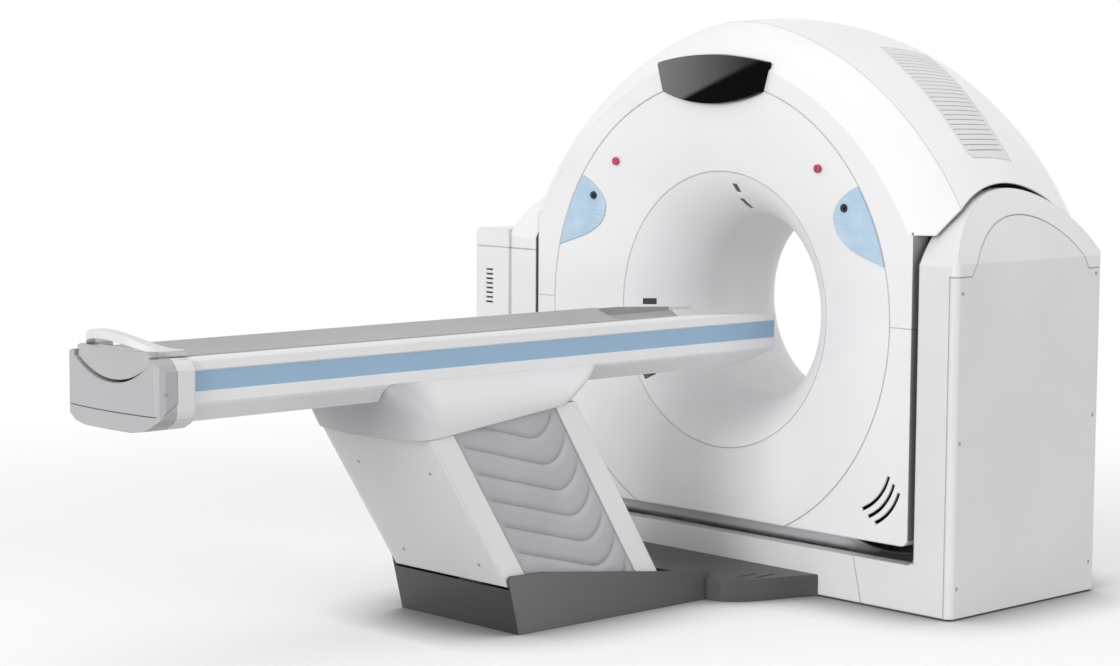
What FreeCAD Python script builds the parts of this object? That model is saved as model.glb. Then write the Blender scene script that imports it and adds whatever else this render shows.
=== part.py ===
import FreeCAD, Part
import math
import os

from FreeCAD import Vector

# Computed-tomography scanner: a tilting ring-shaped gantry between two towers, with a
# patient table on a parallelogram lift. Millimetres. X runs across the gantry, Y along
# the bore away from the table, Z up. The origin is on the floor below the isocentre.

# ---------------------------------------------------------------- driving sizes
ISO_HEIGHT = 950.0          # height of the bore axis and of the tilt axis
HALF_DEPTH = 405.0          # towers and rear of the head, from the isocentre plane
HEAD_PROUD = 7.0            # the head's front face stands this far before the towers
SEAM_GAP = 0.5              # between two covers of one body

TOWER_OUTER_X = 1081.0
TOWER_INNER_X = 925.0
TOWER_FOOT = 6.0            # underside of the tower covers above the floor
BASE_PLATE = 12.0           # floor plate of the frame below the head
FRAME_HALF_DEPTH = 340.0
FRAME_HEIGHT = 84.0
HEAD_GAP = 20.0             # between the tilting head and each tower
EAR_RADIUS = 458.0          # rounded top of each tower, about the tilt axis
EAR_GAP = 16.0              # between the ear and the cut-out of the arch
COVER_WALL = 8.0

ARCH_HALF_WIDTH = 1125.0    # superellipse of the arch, at its widest section
ARCH_RISE = 1035.0
ARCH_POWER = 1.75
CREASE_SCALE = 0.88         # section of the arch at its front crease
SEAM_SCALE = 0.988          # at the seam between front and top covers
REAR_SEAM_SCALE = 0.962
REAR_SCALE = 0.93
FRONT_CREASE_SETBACK = 12.0
TOP_SEAM_Y = -265.0
REAR_SEAM_Y = 330.0
LEDGE_HEIGHT = 309.0        # underside of the arch in front of the ears, above the axis
HEAD_BOTTOM = 726.0         # underside of the head, below the axis
HEAD_CORNER = 30.0

PLATE_RADIUS = 813.0        # round seam of the dished front cover
RIM_RADIUS = 491.0          # crease between dish and funnel
RIM_SETBACK = 50.0          # depth of the dish
BORE_RADIUS = 322.0
THROAT_FRONT_Y = -60.0
BORE_REAR_Y = 195.0
REAR_MOUTH_RADIUS = 480.0
WINDOW_LENGTH = 94.0        # radiolucent ring in the scan plane

CABINET_OUTER_X = 1283.0
CAP_SEAM_Z = ISO_HEIGHT + 168.0     # level joint under the cabinet's lid and the left cap
LID_HEIGHT = 72.0
CABINET_HEIGHT = CAP_SEAM_Z + LID_HEIGHT
TOWER_CORNER = 24.0         # rounding of the upright outer corners
FOOT_FILLET = 30.0          # between the towers' inner faces and their feet
PANEL_RADIUS = 370.0        # arched top of the side panel
PANEL_SHOULDER_Z = 1130.0
PANEL_EDGE_X = 1053.0       # front seam of the wrap-round side panel
PANEL_ARCH_X = 970.0        # the arched top reaches in over the ear to here
GROOVE = 3.0                # width and depth of the visible joints

SILL_HEIGHT = 163.0
SILL_DEPTH = 55.0
SILL_FOOT_X = 686.0         # where the tower feet meet the sill
NOTCH_HALF_WIDTH = 512.0
NOTCH_HEIGHT = 68.0

ROTOR_RADIUS = 690.0
ROTOR_BORE = 352.0
ROTOR_PLATE_Y = 20.0
ROTOR_PLATE = 24.0
BEARING_RADIUS = 520.0
TRUNNION_RADIUS = 60.0
SHAFT_CLEARANCE = 0.05

BASE_HALF_WIDTH = 290.0
BASE_FRONT_Y = -1591.0
BASE_REAR_Y = -709.0
BASE_LEAN = 36.0            # the foot end leans outward by this much at its top
BASE_WALL = 8.0
BASE_FRONT_TOP = 148.0
BASE_SIDE_TOP = 193.0
BASE_REAR_TOP = 94.0

ARM_LEAN = 32.3             # degrees from upright, in the raised position
ARM_LENGTH = 621.0
ARM_SPACING = 564.0
FRONT_PIVOT_Y = -1605.0
BASE_PIVOT_Z = 190.0
ARM_FACE = 38.0             # cover face to pivot line
ARM_FLANGE = 80.0           # width of the cover's side strip
ARM_HALF_WIDTH = 276.0
PIN_RADIUS = 18.0
CURTAIN_Z = (118.0, 736.0)         # level cuts of the pleated side curtains
FRONT_COVER_Z = (157.0, 680.0)     # level cuts at the ends of the arm covers
REAR_COVER_Z = (112.0, 728.0)

BEAM_HALF_WIDTH = 215.0
BEAM_FOOT_Y = -2851.0
BEAM_HEAD_Y = -313.0
BEAM_RAKE = (122.0, 52.0)   # length and height of the cut below its head end
BEAM_BOTTOM = 774.0
BEAM_TOP = 966.0
STRIPE_BOTTOM = 866.0
STRIPE_TOP = 925.0
STRIPE_DEPTH = 4.0
CHAMFER_TOP = 833.0
DECK_FALL = 19.0            # the rails fall by this much toward the head end
DECK_FALL_LENGTH = 380.0
RAIL_INNER_X = 192.5        # the cradle glides between the rails
LEDGE_INNER_X = 178.0       # inner edge of the glide ledges
LEDGE_Z = 940.0
CHANNEL_FLOOR_Z = 886.0
CRADLE_HALF_WIDTH = 190.0
CRADLE_EDGE_Z = 970.0
CRADLE_WALL = 20.0
CRADLE_SAG = 36.0           # depth of the dished top
CRADLE_HEAD_Y = -806.0
CRADLE_FOOT_Y = -2880.0
GLIDE_GAP = 0.3

CAP_FRONT_Y = -2934.0       # moulded cap on the beam's foot end
CAP_BACK_Y = -2790.0
CAP_HALF_WIDTH = 237.0
CAP_BOTTOM = 752.0
CAP_SEAM_LOW_Z = 803.0
DISH_RIM = 23.0             # bevelled border of the cap's dished cut-out
HANDLE_LOW_Z = 893.0        # end plate of the cradle
HANDLE_HALF_WIDTH = 185.0
HANDLE_CORNER_Z = 950.0
HANDLE_PLATE_Y = -2908.0
GRIP_Z = (984.0, 1013.0, 1041.0)   # plate top, hoop underside and hoop top on the centre line
HOOP_HALF_WIDTH = 207.0
HOOP_BAR = 26.0
HOOP_FRONT_Y = -2952.0

VENT_SLOTS = (((820.0, 452.0), (708.0, 329.0)), ((842.0, 428.0), (734.0, 306.0)),
              ((864.0, 401.0), (764.0, 288.0)))
VENT_RADIUS = 190.0
VENT_WIDTH = 12.0
DISPLAY_TOP = ((266.0, 1825.0), 1853.0)     # upper corner and crown of the display
DISPLAY_LOW = ((234.0, 1724.0), 1682.0)
DISPLAY_PROUD = 30.0
DISPLAY_BULGE = 2600.0      # radius of its face
BELLY_RADIUS = 827.0        # round belly plate under the head, about the tilt axis
BELLY_HALF_WIDTH = 655.0
STOP_X = 488.0
STOP_Z = 1467.0
STOP_STEM = 8.0
STOP_HEAD = 14.5
STOP_TRAVEL = 4.0
PAD_ANGLES = (14.2, 34.6)   # ends of the control pads on the plate seam
PAD_INNER = ((594.0, 1370.0), (552.0, 1304.0), (566.0, 1254.0), (636.0, 1198.0))
PAD_MIDDLE = (660.0, 1271.0)
KEY_X = 606.0
KEY_Z = 1338.0
KEY_RADIUS = 14.0
LASER_PLACES = ((180.0, -300.0, 19.0), (0.0, -300.0, 19.0), (-145.0, -339.0, 14.0), (86.0, -318.0, 15.0),
                (88.0, -244.0, 32.0))       # angle, place along the bore, half length
LASER_HALF_WIDTH = 11.0
GRILLE_SLOTS = 24
GRILLE_SLOT = 3.0           # width of the grille's slots
GRILLE_ANGLES = (34.0, 63.5)
CHEEK_INNER_X = 880.0
FRAME_PLATE_Y = 150.0

CROSS_BEAM_Y = (-300.0, 240.0)
CROSS_BEAM = 60.0
RAIL_HEIGHT = 30.0          # rails under the tower covers
SHELF_HALF_WIDTH = SILL_FOOT_X - 32.0
ANCHOR_RADIUS = 9.0
CONNECTION_Z = 75.0
CONNECTION_SIDE = ((303.0, -736.0), (350.0, -721.0), (435.0, -613.0), (469.0, -498.0))

FOLD_PITCH = 106.0
FOLD_DEPTH = 10.0
CURTAIN_X = 262.0
CURTAIN_THICKNESS = 3.0
SADDLE_RIM = ((-1985.0, 652.0), (-1332.0, 728.0))   # (y, z) of the skirt's lower edge at both ends
SADDLE_TOP = (-2085.0, -1150.0)                     # ends of its seam with the beam
SADDLE_BOW = 22.0                                   # outward curve of its foot end
RIM_GAP = 1.5

FAR = 1300.0                # beyond every outer surface
OUT = "parts"
UP = Vector(0, 0, 1)


# ---------------------------------------------------------------- helpers
def block(x0, x1, y0, y1, z0, z1):
    return Part.makeBox(x1 - x0, y1 - y0, z1 - z0, Vector(x0, y0, z0))


def rod(radius, x0, x1, y, z):
    """Cylinder along X."""
    return Part.makeCylinder(radius, x1 - x0, Vector(x0, y, z), Vector(1, 0, 0))


def barrel(radius, y0, y1, z=ISO_HEIGHT, x=0.0):
    """Cylinder along Y, on the bore axis unless placed elsewhere."""
    return Part.makeCylinder(radius, y1 - y0, Vector(x, y0, z), Vector(0, 1, 0))


def ring(outer, inner, y0, y1):
    return barrel(outer, y0, y1).cut(barrel(inner, y0 - 1, y1 + 1))


def polygon(points):
    return Part.Face(Part.makePolygon(points + [points[0]]))


def prism_x(yz, x0, x1):
    """Extrude an outline of (y, z) points along X."""
    return polygon([Vector(x0, y, z) for y, z in yz]).extrude(Vector(x1 - x0, 0, 0))


def prism_y(xz, y0, y1):
    return polygon([Vector(x, y0, z) for x, z in xz]).extrude(Vector(0, y1 - y0, 0))


def prism_z(xy, z0, z1):
    return polygon([Vector(x, y, z0) for x, y in xy]).extrude(Vector(0, 0, z1 - z0))


def face_of(edges):
    return Part.Face(Part.Wire(edges))


def line(a, b):
    return Part.makeLine(a, b)


def arc(a, mid, b):
    return Part.Arc(a, mid, b).toShape()


def mirrored(shape):
    return shape.mirror(Vector(0, 0, 0), Vector(1, 0, 0))


def around_bore(profile):
    """Revolve (radius, y) edges about the bore axis; profile is a list of edges."""
    return face_of(profile).revolve(Vector(0, 0, ISO_HEIGHT), Vector(0, 1, 0), 360)


def at(radius, y):
    """Point of a revolve profile: radius to the right of the bore axis."""
    return Vector(radius, y, ISO_HEIGHT)


def polar(radius, degrees, y):
    a = math.radians(degrees)
    return Vector(radius * math.cos(a), y, ISO_HEIGHT + radius * math.sin(a))


def fuse(shapes):
    shapes = list(shapes)
    out = shapes[0]
    if len(shapes) > 1:
        out = out.multiFuse(shapes[1:])
    return out.removeSplitter()


def save(name, shape):
    shape.exportStep(os.path.join(OUT, name + ".step"))


# ---------------------------------------------------------------- arch surface
def arch_points(scale, inset, start, count):
    """Half section of the arch from height start up to the crown, right side."""
    a = ARCH_HALF_WIDTH * scale - inset
    b = ARCH_RISE * scale - inset
    t0 = math.asin((start / b) ** (ARCH_POWER / 2))
    points = []
    for i in range(count + 1):
        t = t0 + (math.pi / 2 - t0) * i / count
        x = a * math.cos(t) ** (2 / ARCH_POWER) if i < count else 0.0
        points.append((x, b * math.sin(t) ** (2 / ARCH_POWER)))
    return points


def arch_section(y, scale, inset=0.0, start=LEDGE_HEIGHT):
    """Closed section of the arch above a level line, at one place along the bore."""
    right = arch_points(scale, inset, start, 6)
    left = [(-x, h) for x, h in reversed(right[:-1])]
    points = [Vector(x, y, ISO_HEIGHT + h) for x, h in right + left]
    crown = Part.BSplineCurve()
    crown.interpolate(points)
    return Part.Wire([crown.toShape(), line(points[-1], points[0])])


def arch_block(stations, inset=0.0, start=LEDGE_HEIGHT):
    """Solid arch through (y, scale) stations."""
    return Part.makeLoft([arch_section(y, s, inset, start) for y, s in stations], True)


FRONT_Y = -HALF_DEPTH - HEAD_PROUD
FRONT_STATIONS = [(FRONT_Y, CREASE_SCALE - 0.012), (FRONT_Y + FRONT_CREASE_SETBACK, CREASE_SCALE)]
BEVEL_STATIONS = [(FRONT_Y + FRONT_CREASE_SETBACK, CREASE_SCALE),
                  (-330.0, 0.952), (TOP_SEAM_Y, SEAM_SCALE)]
TOP_STATIONS = [(TOP_SEAM_Y, SEAM_SCALE), (-120.0, 1.0), (60.0, 1.0), (210.0, 0.986),
                (REAR_SEAM_Y, REAR_SEAM_SCALE)]
INNER_TOP_STATIONS = ([(TOP_SEAM_Y - 1, SEAM_SCALE)] + TOP_STATIONS[1:-1]
                      + [(REAR_SEAM_Y + 1, REAR_SEAM_SCALE)])
REAR_STATIONS = [(REAR_SEAM_Y, REAR_SEAM_SCALE), (HALF_DEPTH, REAR_SCALE)]
COVER_HALF_WIDTH = TOWER_INNER_X - HEAD_GAP
CUTOUT_RADIUS = EAR_RADIUS + EAR_GAP


def head_block(x_half, y0, y1, bottom, top):
    """Lower part of the head between the towers, with rounded bottom corners."""
    z0 = ISO_HEIGHT - bottom
    r = HEAD_CORNER
    k = r * (1 - math.sqrt(0.5))
    p = [Vector(x, y0, z) for x, z in (
        (-x_half, z0 + r), (-x_half + k, z0 + k), (-x_half + r, z0),
        (x_half - r, z0), (x_half - k, z0 + k), (x_half, z0 + r),
        (x_half, ISO_HEIGHT + top), (-x_half, ISO_HEIGHT + top))]
    edges = [arc(p[0], p[1], p[2]), line(p[2], p[3]), arc(p[3], p[4], p[5]),
             line(p[5], p[6]), line(p[6], p[7]), line(p[7], p[0])]
    return face_of(edges).extrude(Vector(0, y1 - y0, 0))


def ear_cutout(side, radius):
    """Space round one tower's ear, taken out of the arch."""
    x0, x1 = (COVER_HALF_WIDTH, FAR) if side > 0 else (-FAR, -COVER_HALF_WIDTH)
    return rod(radius, x0, x1, 0, ISO_HEIGHT)


# ---------------------------------------------------------------- head covers
def front_shell():
    """Front border of the head: arch bevel above the ledge, flat sides below it."""
    w = COVER_WALL
    lower_back = -330.0
    outer = fuse([arch_block(FRONT_STATIONS), arch_block(BEVEL_STATIONS),
                  head_block(COVER_HALF_WIDTH, FRONT_Y, lower_back, HEAD_BOTTOM, LEDGE_HEIGHT)])
    inner_front = [(FRONT_Y + w, CREASE_SCALE - 0.012), (FRONT_Y + w + FRONT_CREASE_SETBACK, CREASE_SCALE),
                   (-330.0, 0.948), (TOP_SEAM_Y + 1.0, SEAM_SCALE)]
    inner = fuse([arch_block(inner_front, w, LEDGE_HEIGHT + w),
                  head_block(COVER_HALF_WIDTH - w, FRONT_Y + w, lower_back + 1,
                             HEAD_BOTTOM - w, LEDGE_HEIGHT + w)])
    shell = outer.cut(inner)
    shell = shell.cut(barrel(PLATE_RADIUS, FRONT_Y - 5, 0))
    for side in (1, -1):
        shell = shell.cut(ear_cutout(side, CUTOUT_RADIUS))
    return shell


def arch_front_cover(shell):
    keep = block(-FAR, FAR, FRONT_Y - 5, 0, ISO_HEIGHT + SEAM_GAP / 2, ISO_HEIGHT + 1200)
    cover = shell.common(keep)
    return cover.cut(display_outline(SEAM_GAP, FRONT_Y - 30, FRONT_Y + COVER_WALL + 2))


def corner_cover(shell, side):
    """Cover below the isocentre seam, with three curved vent slots in its lower corner."""
    top = ISO_HEIGHT - SEAM_GAP / 2
    x0, x1 = (0, FAR) if side > 0 else (-FAR, 0)
    cover = shell.common(block(x0, x1, FRONT_Y - 5, 0, 0, top))
    for (xa, za), (xb, zb) in VENT_SLOTS:
        half_chord = math.hypot(xb - xa, zb - za) / 2
        rise = math.sqrt(VENT_RADIUS ** 2 - half_chord ** 2)
        across = Vector(za - zb, 0, xb - xa).normalize()
        hub = Vector((xa + xb) / 2, 0, (za + zb) / 2) - across * rise
        start = math.degrees(math.atan2(zb - hub.z, xb - hub.x))
        end = math.degrees(math.atan2(za - hub.z, xa - hub.x))
        y0, y1 = FRONT_Y - 1, FRONT_Y + COVER_WALL + 1
        middle = (start + end) / 2
        rows = []
        for radius, angles in ((VENT_RADIUS + VENT_WIDTH / 2, (start, middle, end)),
                               (VENT_RADIUS - VENT_WIDTH / 2, (end, middle, start))):
            spokes = [Vector(math.cos(math.radians(a)), 0, math.sin(math.radians(a))) for a in angles]
            rows.append([hub + spoke * radius + Vector(0, y0, 0) for spoke in spokes])
        outer, inner = rows
        slot = face_of([arc(*outer), line(outer[2], inner[0]), arc(*inner), line(inner[2], outer[0])])
        slot = slot.extrude(Vector(0, y1 - y0, 0))
        cover = cover.cut(mirrored(slot) if side < 0 else slot)
    return cover


def dish_profile(offset0, offset1, r0, r1):
    """Revolve profile of a band of the dish between two offsets behind its surface."""
    rise = RIM_SETBACK
    run = PLATE_RADIUS - RIM_RADIUS
    rho = (run * run + rise * rise) / (2 * rise)

    def y_at(radius, offset):
        return FRONT_Y + rho - math.sqrt(rho * rho - (PLATE_RADIUS - radius) ** 2) + offset

    mid = (r0 + r1) / 2
    a = [at(r, y_at(r, offset0)) for r in (r0, mid, r1)]
    b = [at(r, y_at(r, offset1)) for r in (r1, mid, r0)]
    return [arc(*a), line(a[2], b[0]), arc(*b), line(b[2], a[0])]


def dish_band(offset0, offset1, r0=RIM_RADIUS, r1=PLATE_RADIUS):
    return around_bore(dish_profile(offset0, offset1, r0, r1))


def display_outline(grow, y0, y1):
    """Outline of the curved display in the crown of the front."""
    (xt, zt), crown = DISPLAY_TOP
    (xl, zl), sag = DISPLAY_LOW
    g = grow
    a, b, c = Vector(-xt - g, y0, zt + g), Vector(0, y0, crown + g), Vector(xt + g, y0, zt + g)
    d, e, f = Vector(xl + g, y0, zl - g), Vector(0, y0, sag - g), Vector(-xl - g, y0, zl - g)
    face = face_of([arc(a, b, c), line(c, d), arc(d, e, f), line(f, a)])
    plate = face.extrude(Vector(0, y1 - y0, 0))
    upright = [edge for edge in plate.Edges if edge.BoundBox.YLength > 0.9 * (y1 - y0)]
    return plate.makeFillet(10.0 + grow, upright)


def front_dish_cover():
    cover = dish_band(0, COVER_WALL, RIM_RADIUS + SEAM_GAP / 2, PLATE_RADIUS - SEAM_GAP)
    z0 = ISO_HEIGHT - HEAD_BOTTOM
    cover = cover.common(block(-1000, 1000, FRONT_Y - 5, 0, z0, ISO_HEIGHT + 1000))
    half = math.sqrt(PLATE_RADIUS ** 2 - HEAD_BOTTOM ** 2) - SEAM_GAP
    flange = block(-half, half, FRONT_Y + 3, -330, z0, z0 + COVER_WALL)
    belly = rod(BELLY_RADIUS, -BELLY_HALF_WIDTH, BELLY_HALF_WIDTH, 0, ISO_HEIGHT)
    belly = belly.cut(rod(BELLY_RADIUS - 5.0, -900, 900, 0, ISO_HEIGHT))
    front_half = belly.common(block(-900, 900, -BELLY_RADIUS, 0, 0, z0))
    rear_half = belly.common(block(-900, 900, 0, BELLY_RADIUS, 0, z0 - SEAM_GAP))
    cover = fuse([cover, flange, front_half, rear_half])
    cover = cover.cut(display_outline(SEAM_GAP, FRONT_Y - 30, FRONT_Y + COVER_WALL + 2))
    groove = ring(PLATE_RADIUS + 1, PLATE_RADIUS - GROOVE, FRONT_Y - 1, FRONT_Y + GROOVE)
    rim = ring(RIM_RADIUS + GROOVE, RIM_RADIUS - GROOVE, FRONT_Y, FRONT_Y + RIM_SETBACK + 2)
    cover = cover.cut(groove).cut(rim)
    for side in (1, -1):
        cover = cover.cut(pad_outline(side, SEAM_GAP, FRONT_Y - 5, FRONT_Y + 60))
        x, z = STOP_X * side, STOP_Z
        cover = cover.cut(barrel(STOP_STEM + SHAFT_CLEARANCE + 0.3, FRONT_Y - 5, -300, z, x))
    return cover


def dish_surface_y(x, z):
    radius = math.hypot(x, z - ISO_HEIGHT)
    rise = RIM_SETBACK
    run = PLATE_RADIUS - RIM_RADIUS
    rho = (run * run + rise * rise) / (2 * rise)
    return FRONT_Y + rho - math.sqrt(rho * rho - (PLATE_RADIUS - radius) ** 2)


def stop_button(side):
    """Mushroom emergency stop with its stem through the dish."""
    x, z = STOP_X * side, STOP_Z
    y = dish_surface_y(x, z)
    front = y - STOP_TRAVEL - 11.0
    bevel = 2.5
    crown = Part.makeCone(STOP_HEAD - bevel, STOP_HEAD, bevel, Vector(x, front, z), Vector(0, 1, 0))
    head = barrel(STOP_HEAD, front + bevel, front + 9, z, x)
    return fuse([crown, head, barrel(STOP_STEM, front + 9, y + 30, z, x)])


def pad_outline(side, grow, y0, y1):
    """Leaf outline of a control pad, along the plate seam."""
    outer = PLATE_RADIUS - 1.5 - GROOVE
    low, high = PAD_ANGLES
    a = polar(outer, low, y0)
    b = polar(outer, (low + high) / 2, y0)
    c = polar(outer, high, y0)
    leaf = Part.BSplineCurve()
    leaf.interpolate([c] + [Vector(x, y0, z) for x, z in PAD_INNER] + [a])
    face = face_of([arc(a, b, c), leaf.toShape()])
    shape = face.extrude(Vector(0, y1 - y0, 0))
    if grow:
        x, z = PAD_MIDDLE
        shape = shape.copy()
        shape.scale(1 + grow / 120.0, Vector(x, (y0 + y1) / 2, z))
    return mirrored(shape) if side < 0 else shape


def control_pad(side):
    band = dish_band(-2.5, COVER_WALL + 4, 560.0, PLATE_RADIUS - GROOVE - 1)
    pad = band.common(pad_outline(side, 0, FRONT_Y - 20, FRONT_Y + 80))
    x, z = KEY_X * side, KEY_Z
    return pad.cut(barrel(KEY_RADIUS + 0.4, FRONT_Y - 20, FRONT_Y + 80, z, x))


def pad_key(side):
    x, z = KEY_X * side, KEY_Z
    y = dish_surface_y(x, z)
    return fuse([barrel(KEY_RADIUS, y - 8, y + 18, z, x), barrel(7.0, y - 16, y - 7, z, x)])


def display_lens():
    """Gloss display with a bulged face, seated in the crown."""
    lens = display_outline(0, FRONT_Y - DISPLAY_PROUD, FRONT_Y + COVER_WALL)
    middle = (DISPLAY_TOP[1] + DISPLAY_LOW[1]) / 2
    dome = Part.makeSphere(DISPLAY_BULGE, Vector(0, FRONT_Y - DISPLAY_PROUD + DISPLAY_BULGE, middle))
    return lens.common(dome)


FUNNEL_RISE = RIM_RADIUS - BORE_RADIUS


def funnel_radii():
    """Centre and radius of the funnel's arc in the (radius, y) plane."""
    run = THROAT_FRONT_Y - (FRONT_Y + RIM_SETBACK)
    rho = (run * run + FUNNEL_RISE * FUNNEL_RISE) / (2 * FUNNEL_RISE)
    return BORE_RADIUS + rho, rho


def funnel_point(y, offset):
    centre, rho = funnel_radii()
    r = rho - offset
    return at(centre - math.sqrt(r * r - (y - THROAT_FRONT_Y) ** 2), y)


def bore_funnel():
    """Flared inlet from the dish to the throat, with slots for the laser windows."""
    y0 = FRONT_Y + RIM_SETBACK
    w = COVER_WALL
    outer = [funnel_point(y, 0) for y in (y0, (y0 + THROAT_FRONT_Y) / 2, THROAT_FRONT_Y)]
    inner = [funnel_point(y, w) for y in (THROAT_FRONT_Y, (y0 + THROAT_FRONT_Y) / 2, y0 + w)]
    rim = at(RIM_RADIUS, y0 + w)
    edges = [arc(*outer), line(outer[2], inner[0]), arc(*inner), line(inner[2], rim),
             line(rim, outer[0])]
    funnel = around_bore(edges)
    return funnel.cut(fuse(laser_slots(0.3)))


def laser_slots(grow):
    """Radial prisms for the five laser windows, each (angle, y)."""
    slots = []
    for angle, y, half in LASER_PLACES:
        w = LASER_HALF_WIDTH + grow
        slot = block(300, 520, y - half - grow, y + half + grow, ISO_HEIGHT - w, ISO_HEIGHT + w)
        slot.rotate(Vector(0, 0, ISO_HEIGHT), Vector(0, 1, 0), -angle)
        slots.append(slot)
    return slots


def laser_windows():
    y0 = FRONT_Y + RIM_SETBACK + 2
    outer = [funnel_point(y, 1.5) for y in (y0 + 4, (y0 + THROAT_FRONT_Y) / 2, THROAT_FRONT_Y)]
    inner = [funnel_point(y, 7) for y in (THROAT_FRONT_Y, (y0 + THROAT_FRONT_Y) / 2, y0 + 8)]
    band = around_bore([arc(*outer), line(outer[2], inner[0]), arc(*inner), line(inner[2], outer[0])])
    return Part.makeCompound([band.common(s) for s in laser_slots(0)])


def bore_window():
    return ring(BORE_RADIUS + 5, BORE_RADIUS, THROAT_FRONT_Y, THROAT_FRONT_Y + WINDOW_LENGTH)


def bore_liner():
    """Tube behind the radiolucent ring, flared to the rear mouth."""
    w = COVER_WALL
    y0, y1 = THROAT_FRONT_Y + WINDOW_LENGTH, HALF_DEPTH
    run, rise = y1 - BORE_REAR_Y, REAR_MOUTH_RADIUS - BORE_RADIUS
    rho = (run * run + rise * rise) / (2 * rise)

    def mouth(share, offset):
        a = share * math.asin(run / rho)
        r = rho - offset
        return at(BORE_RADIUS + rho - r * math.cos(a), BORE_REAR_Y + r * math.sin(a))

    skin = [mouth(share, 0) for share in (0, 0.5, 1)]
    back = [mouth(share, w) for share in (1, 0.5, 0)]
    start, behind = at(BORE_RADIUS, y0), at(BORE_RADIUS + w, y0)
    tube = around_bore([line(start, skin[0]), arc(*skin), line(skin[2], back[0]), arc(*back),
                        line(back[2], behind), line(behind, start)])
    return tube.common(barrel(REAR_MOUTH_RADIUS, y0, y1))


def arch_top_cover():
    w = COVER_WALL
    outer = arch_block(TOP_STATIONS)
    cover = outer.cut(arch_block(INNER_TOP_STATIONS, w, LEDGE_HEIGHT - 1))
    for side in (1, -1):
        cover = cover.cut(ear_cutout(side, CUTOUT_RADIUS))
        cover = cover.cut(grille_plan(side, 0))
    return cover


def grille_plan(side, inset):
    """Plan outline of a vent grille, a vertical prism through the arch."""
    i = inset
    points = [(405 + i, -2 + i), (541, -48 + i), (798 - i, -92 + i), (868 - i, -98 + i),
              (888 - i, -84 + i), (891 - i, 121 - i), (790, 138 - i), (678, 168 - i), (517, 229 - i),
              (405 + i, 262 - i)]
    prism = prism_z(points, ISO_HEIGHT + 400, ISO_HEIGHT + 1100)
    return mirrored(prism) if side < 0 else prism


def vent_grille(side):
    """Slatted grille set into the arch: a frame with bars across it."""
    w = COVER_WALL
    skin = arch_block(TOP_STATIONS, 2.0).cut(arch_block(INNER_TOP_STATIONS, w - 2, LEDGE_HEIGHT - 1))
    area = skin.common(grille_plan(side, SEAM_GAP))
    window = grille_plan(side, 12.0)
    slots = []
    half = GRILLE_SLOT / 2
    for i in range(GRILLE_SLOTS):
        angle = GRILLE_ANGLES[0] + (GRILLE_ANGLES[1] - GRILLE_ANGLES[0]) * i / (GRILLE_SLOTS - 1)
        slot = block(560, 1100, -300, 400, ISO_HEIGHT - half, ISO_HEIGHT + half)
        slot.rotate(Vector(0, 0, ISO_HEIGHT), Vector(0, 1, 0), -angle)
        slots.append(mirrored(slot) if side < 0 else slot)
    return area.cut(Part.makeCompound(slots).common(window))


def rear_cover():
    """Rear half of the head's skin, open for the rear mouth."""
    w = COVER_WALL
    back = HALF_DEPTH
    outer = fuse([arch_block(REAR_STATIONS),
                  head_block(COVER_HALF_WIDTH, REAR_SEAM_Y, back, HEAD_BOTTOM, LEDGE_HEIGHT)])
    inner = fuse([arch_block([(REAR_SEAM_Y - 1, REAR_SEAM_SCALE), (back - w, REAR_SCALE + 0.004)],
                             w, LEDGE_HEIGHT + w),
                  head_block(COVER_HALF_WIDTH - w, REAR_SEAM_Y - 1, back - w,
                             HEAD_BOTTOM - w, LEDGE_HEIGHT + w)])
    shell = outer.cut(inner).cut(barrel(REAR_MOUTH_RADIUS + SEAM_GAP, 0, back + 5))
    for side in (1, -1):
        shell = shell.cut(ear_cutout(side, CUTOUT_RADIUS))
    return shell


# ---------------------------------------------------------------- head structure


def tilt_frame():
    """Welded ring plate between two cheeks, with a trunnion on each cheek."""
    plate = block(-CHEEK_INNER_X, CHEEK_INNER_X, FRAME_PLATE_Y, FRAME_PLATE_Y + 30,
                  ISO_HEIGHT - HEAD_BOTTOM + COVER_WALL, ISO_HEIGHT + 300)
    crown = barrel(850.0, FRAME_PLATE_Y, FRAME_PLATE_Y + 30).common(
        block(-CHEEK_INNER_X, CHEEK_INNER_X, 0, 400, ISO_HEIGHT + 200, ISO_HEIGHT + 900))
    hole = barrel(BEARING_RADIUS - 60, 0, 400)
    parts = [plate.fuse(crown).cut(hole)]
    for side in (1, -1):
        x0, x1 = (CHEEK_INNER_X, COVER_HALF_WIDTH)
        cheek = block(x0, x1, -330, REAR_SEAM_Y, ISO_HEIGHT - 640, ISO_HEIGHT + 290)
        gusset = block(x0 - 160, x0, FRAME_PLATE_Y - 60, FRAME_PLATE_Y, ISO_HEIGHT - 110, ISO_HEIGHT + 110)
        stub = rod(TRUNNION_RADIUS, x1, TOWER_INNER_X + 85, 0, ISO_HEIGHT)
        pocket = block(x0 - 1, x1 - 8, -280, -140, ISO_HEIGHT - 560, ISO_HEIGHT - 140)
        cheek = fuse([cheek.cut(pocket), gusset, stub])
        parts.append(cheek if side > 0 else mirrored(cheek))
    z = ISO_HEIGHT + 480
    for sx in (1, -1):
        parts.append(block(sx * 640 - 20, sx * 640 + 20, FRAME_PLATE_Y + 30, REAR_SEAM_Y + 20, z, z + 40))
    return fuse(parts)


def bearing_outer_ring():
    """Outer race bolted to the front of the ring plate."""
    r = BEARING_RADIUS
    body = ring(r + 45, r, FRAME_PLATE_Y - 60, FRAME_PLATE_Y)
    race = around_bore([line(at(r - 2, FRAME_PLATE_Y - 40), at(r - 2, FRAME_PLATE_Y - 20)),
                        line(at(r - 2, FRAME_PLATE_Y - 20), at(r + 9, FRAME_PLATE_Y - 30)),
                        line(at(r + 9, FRAME_PLATE_Y - 30), at(r - 2, FRAME_PLATE_Y - 40))])
    return body.cut(race)


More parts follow.
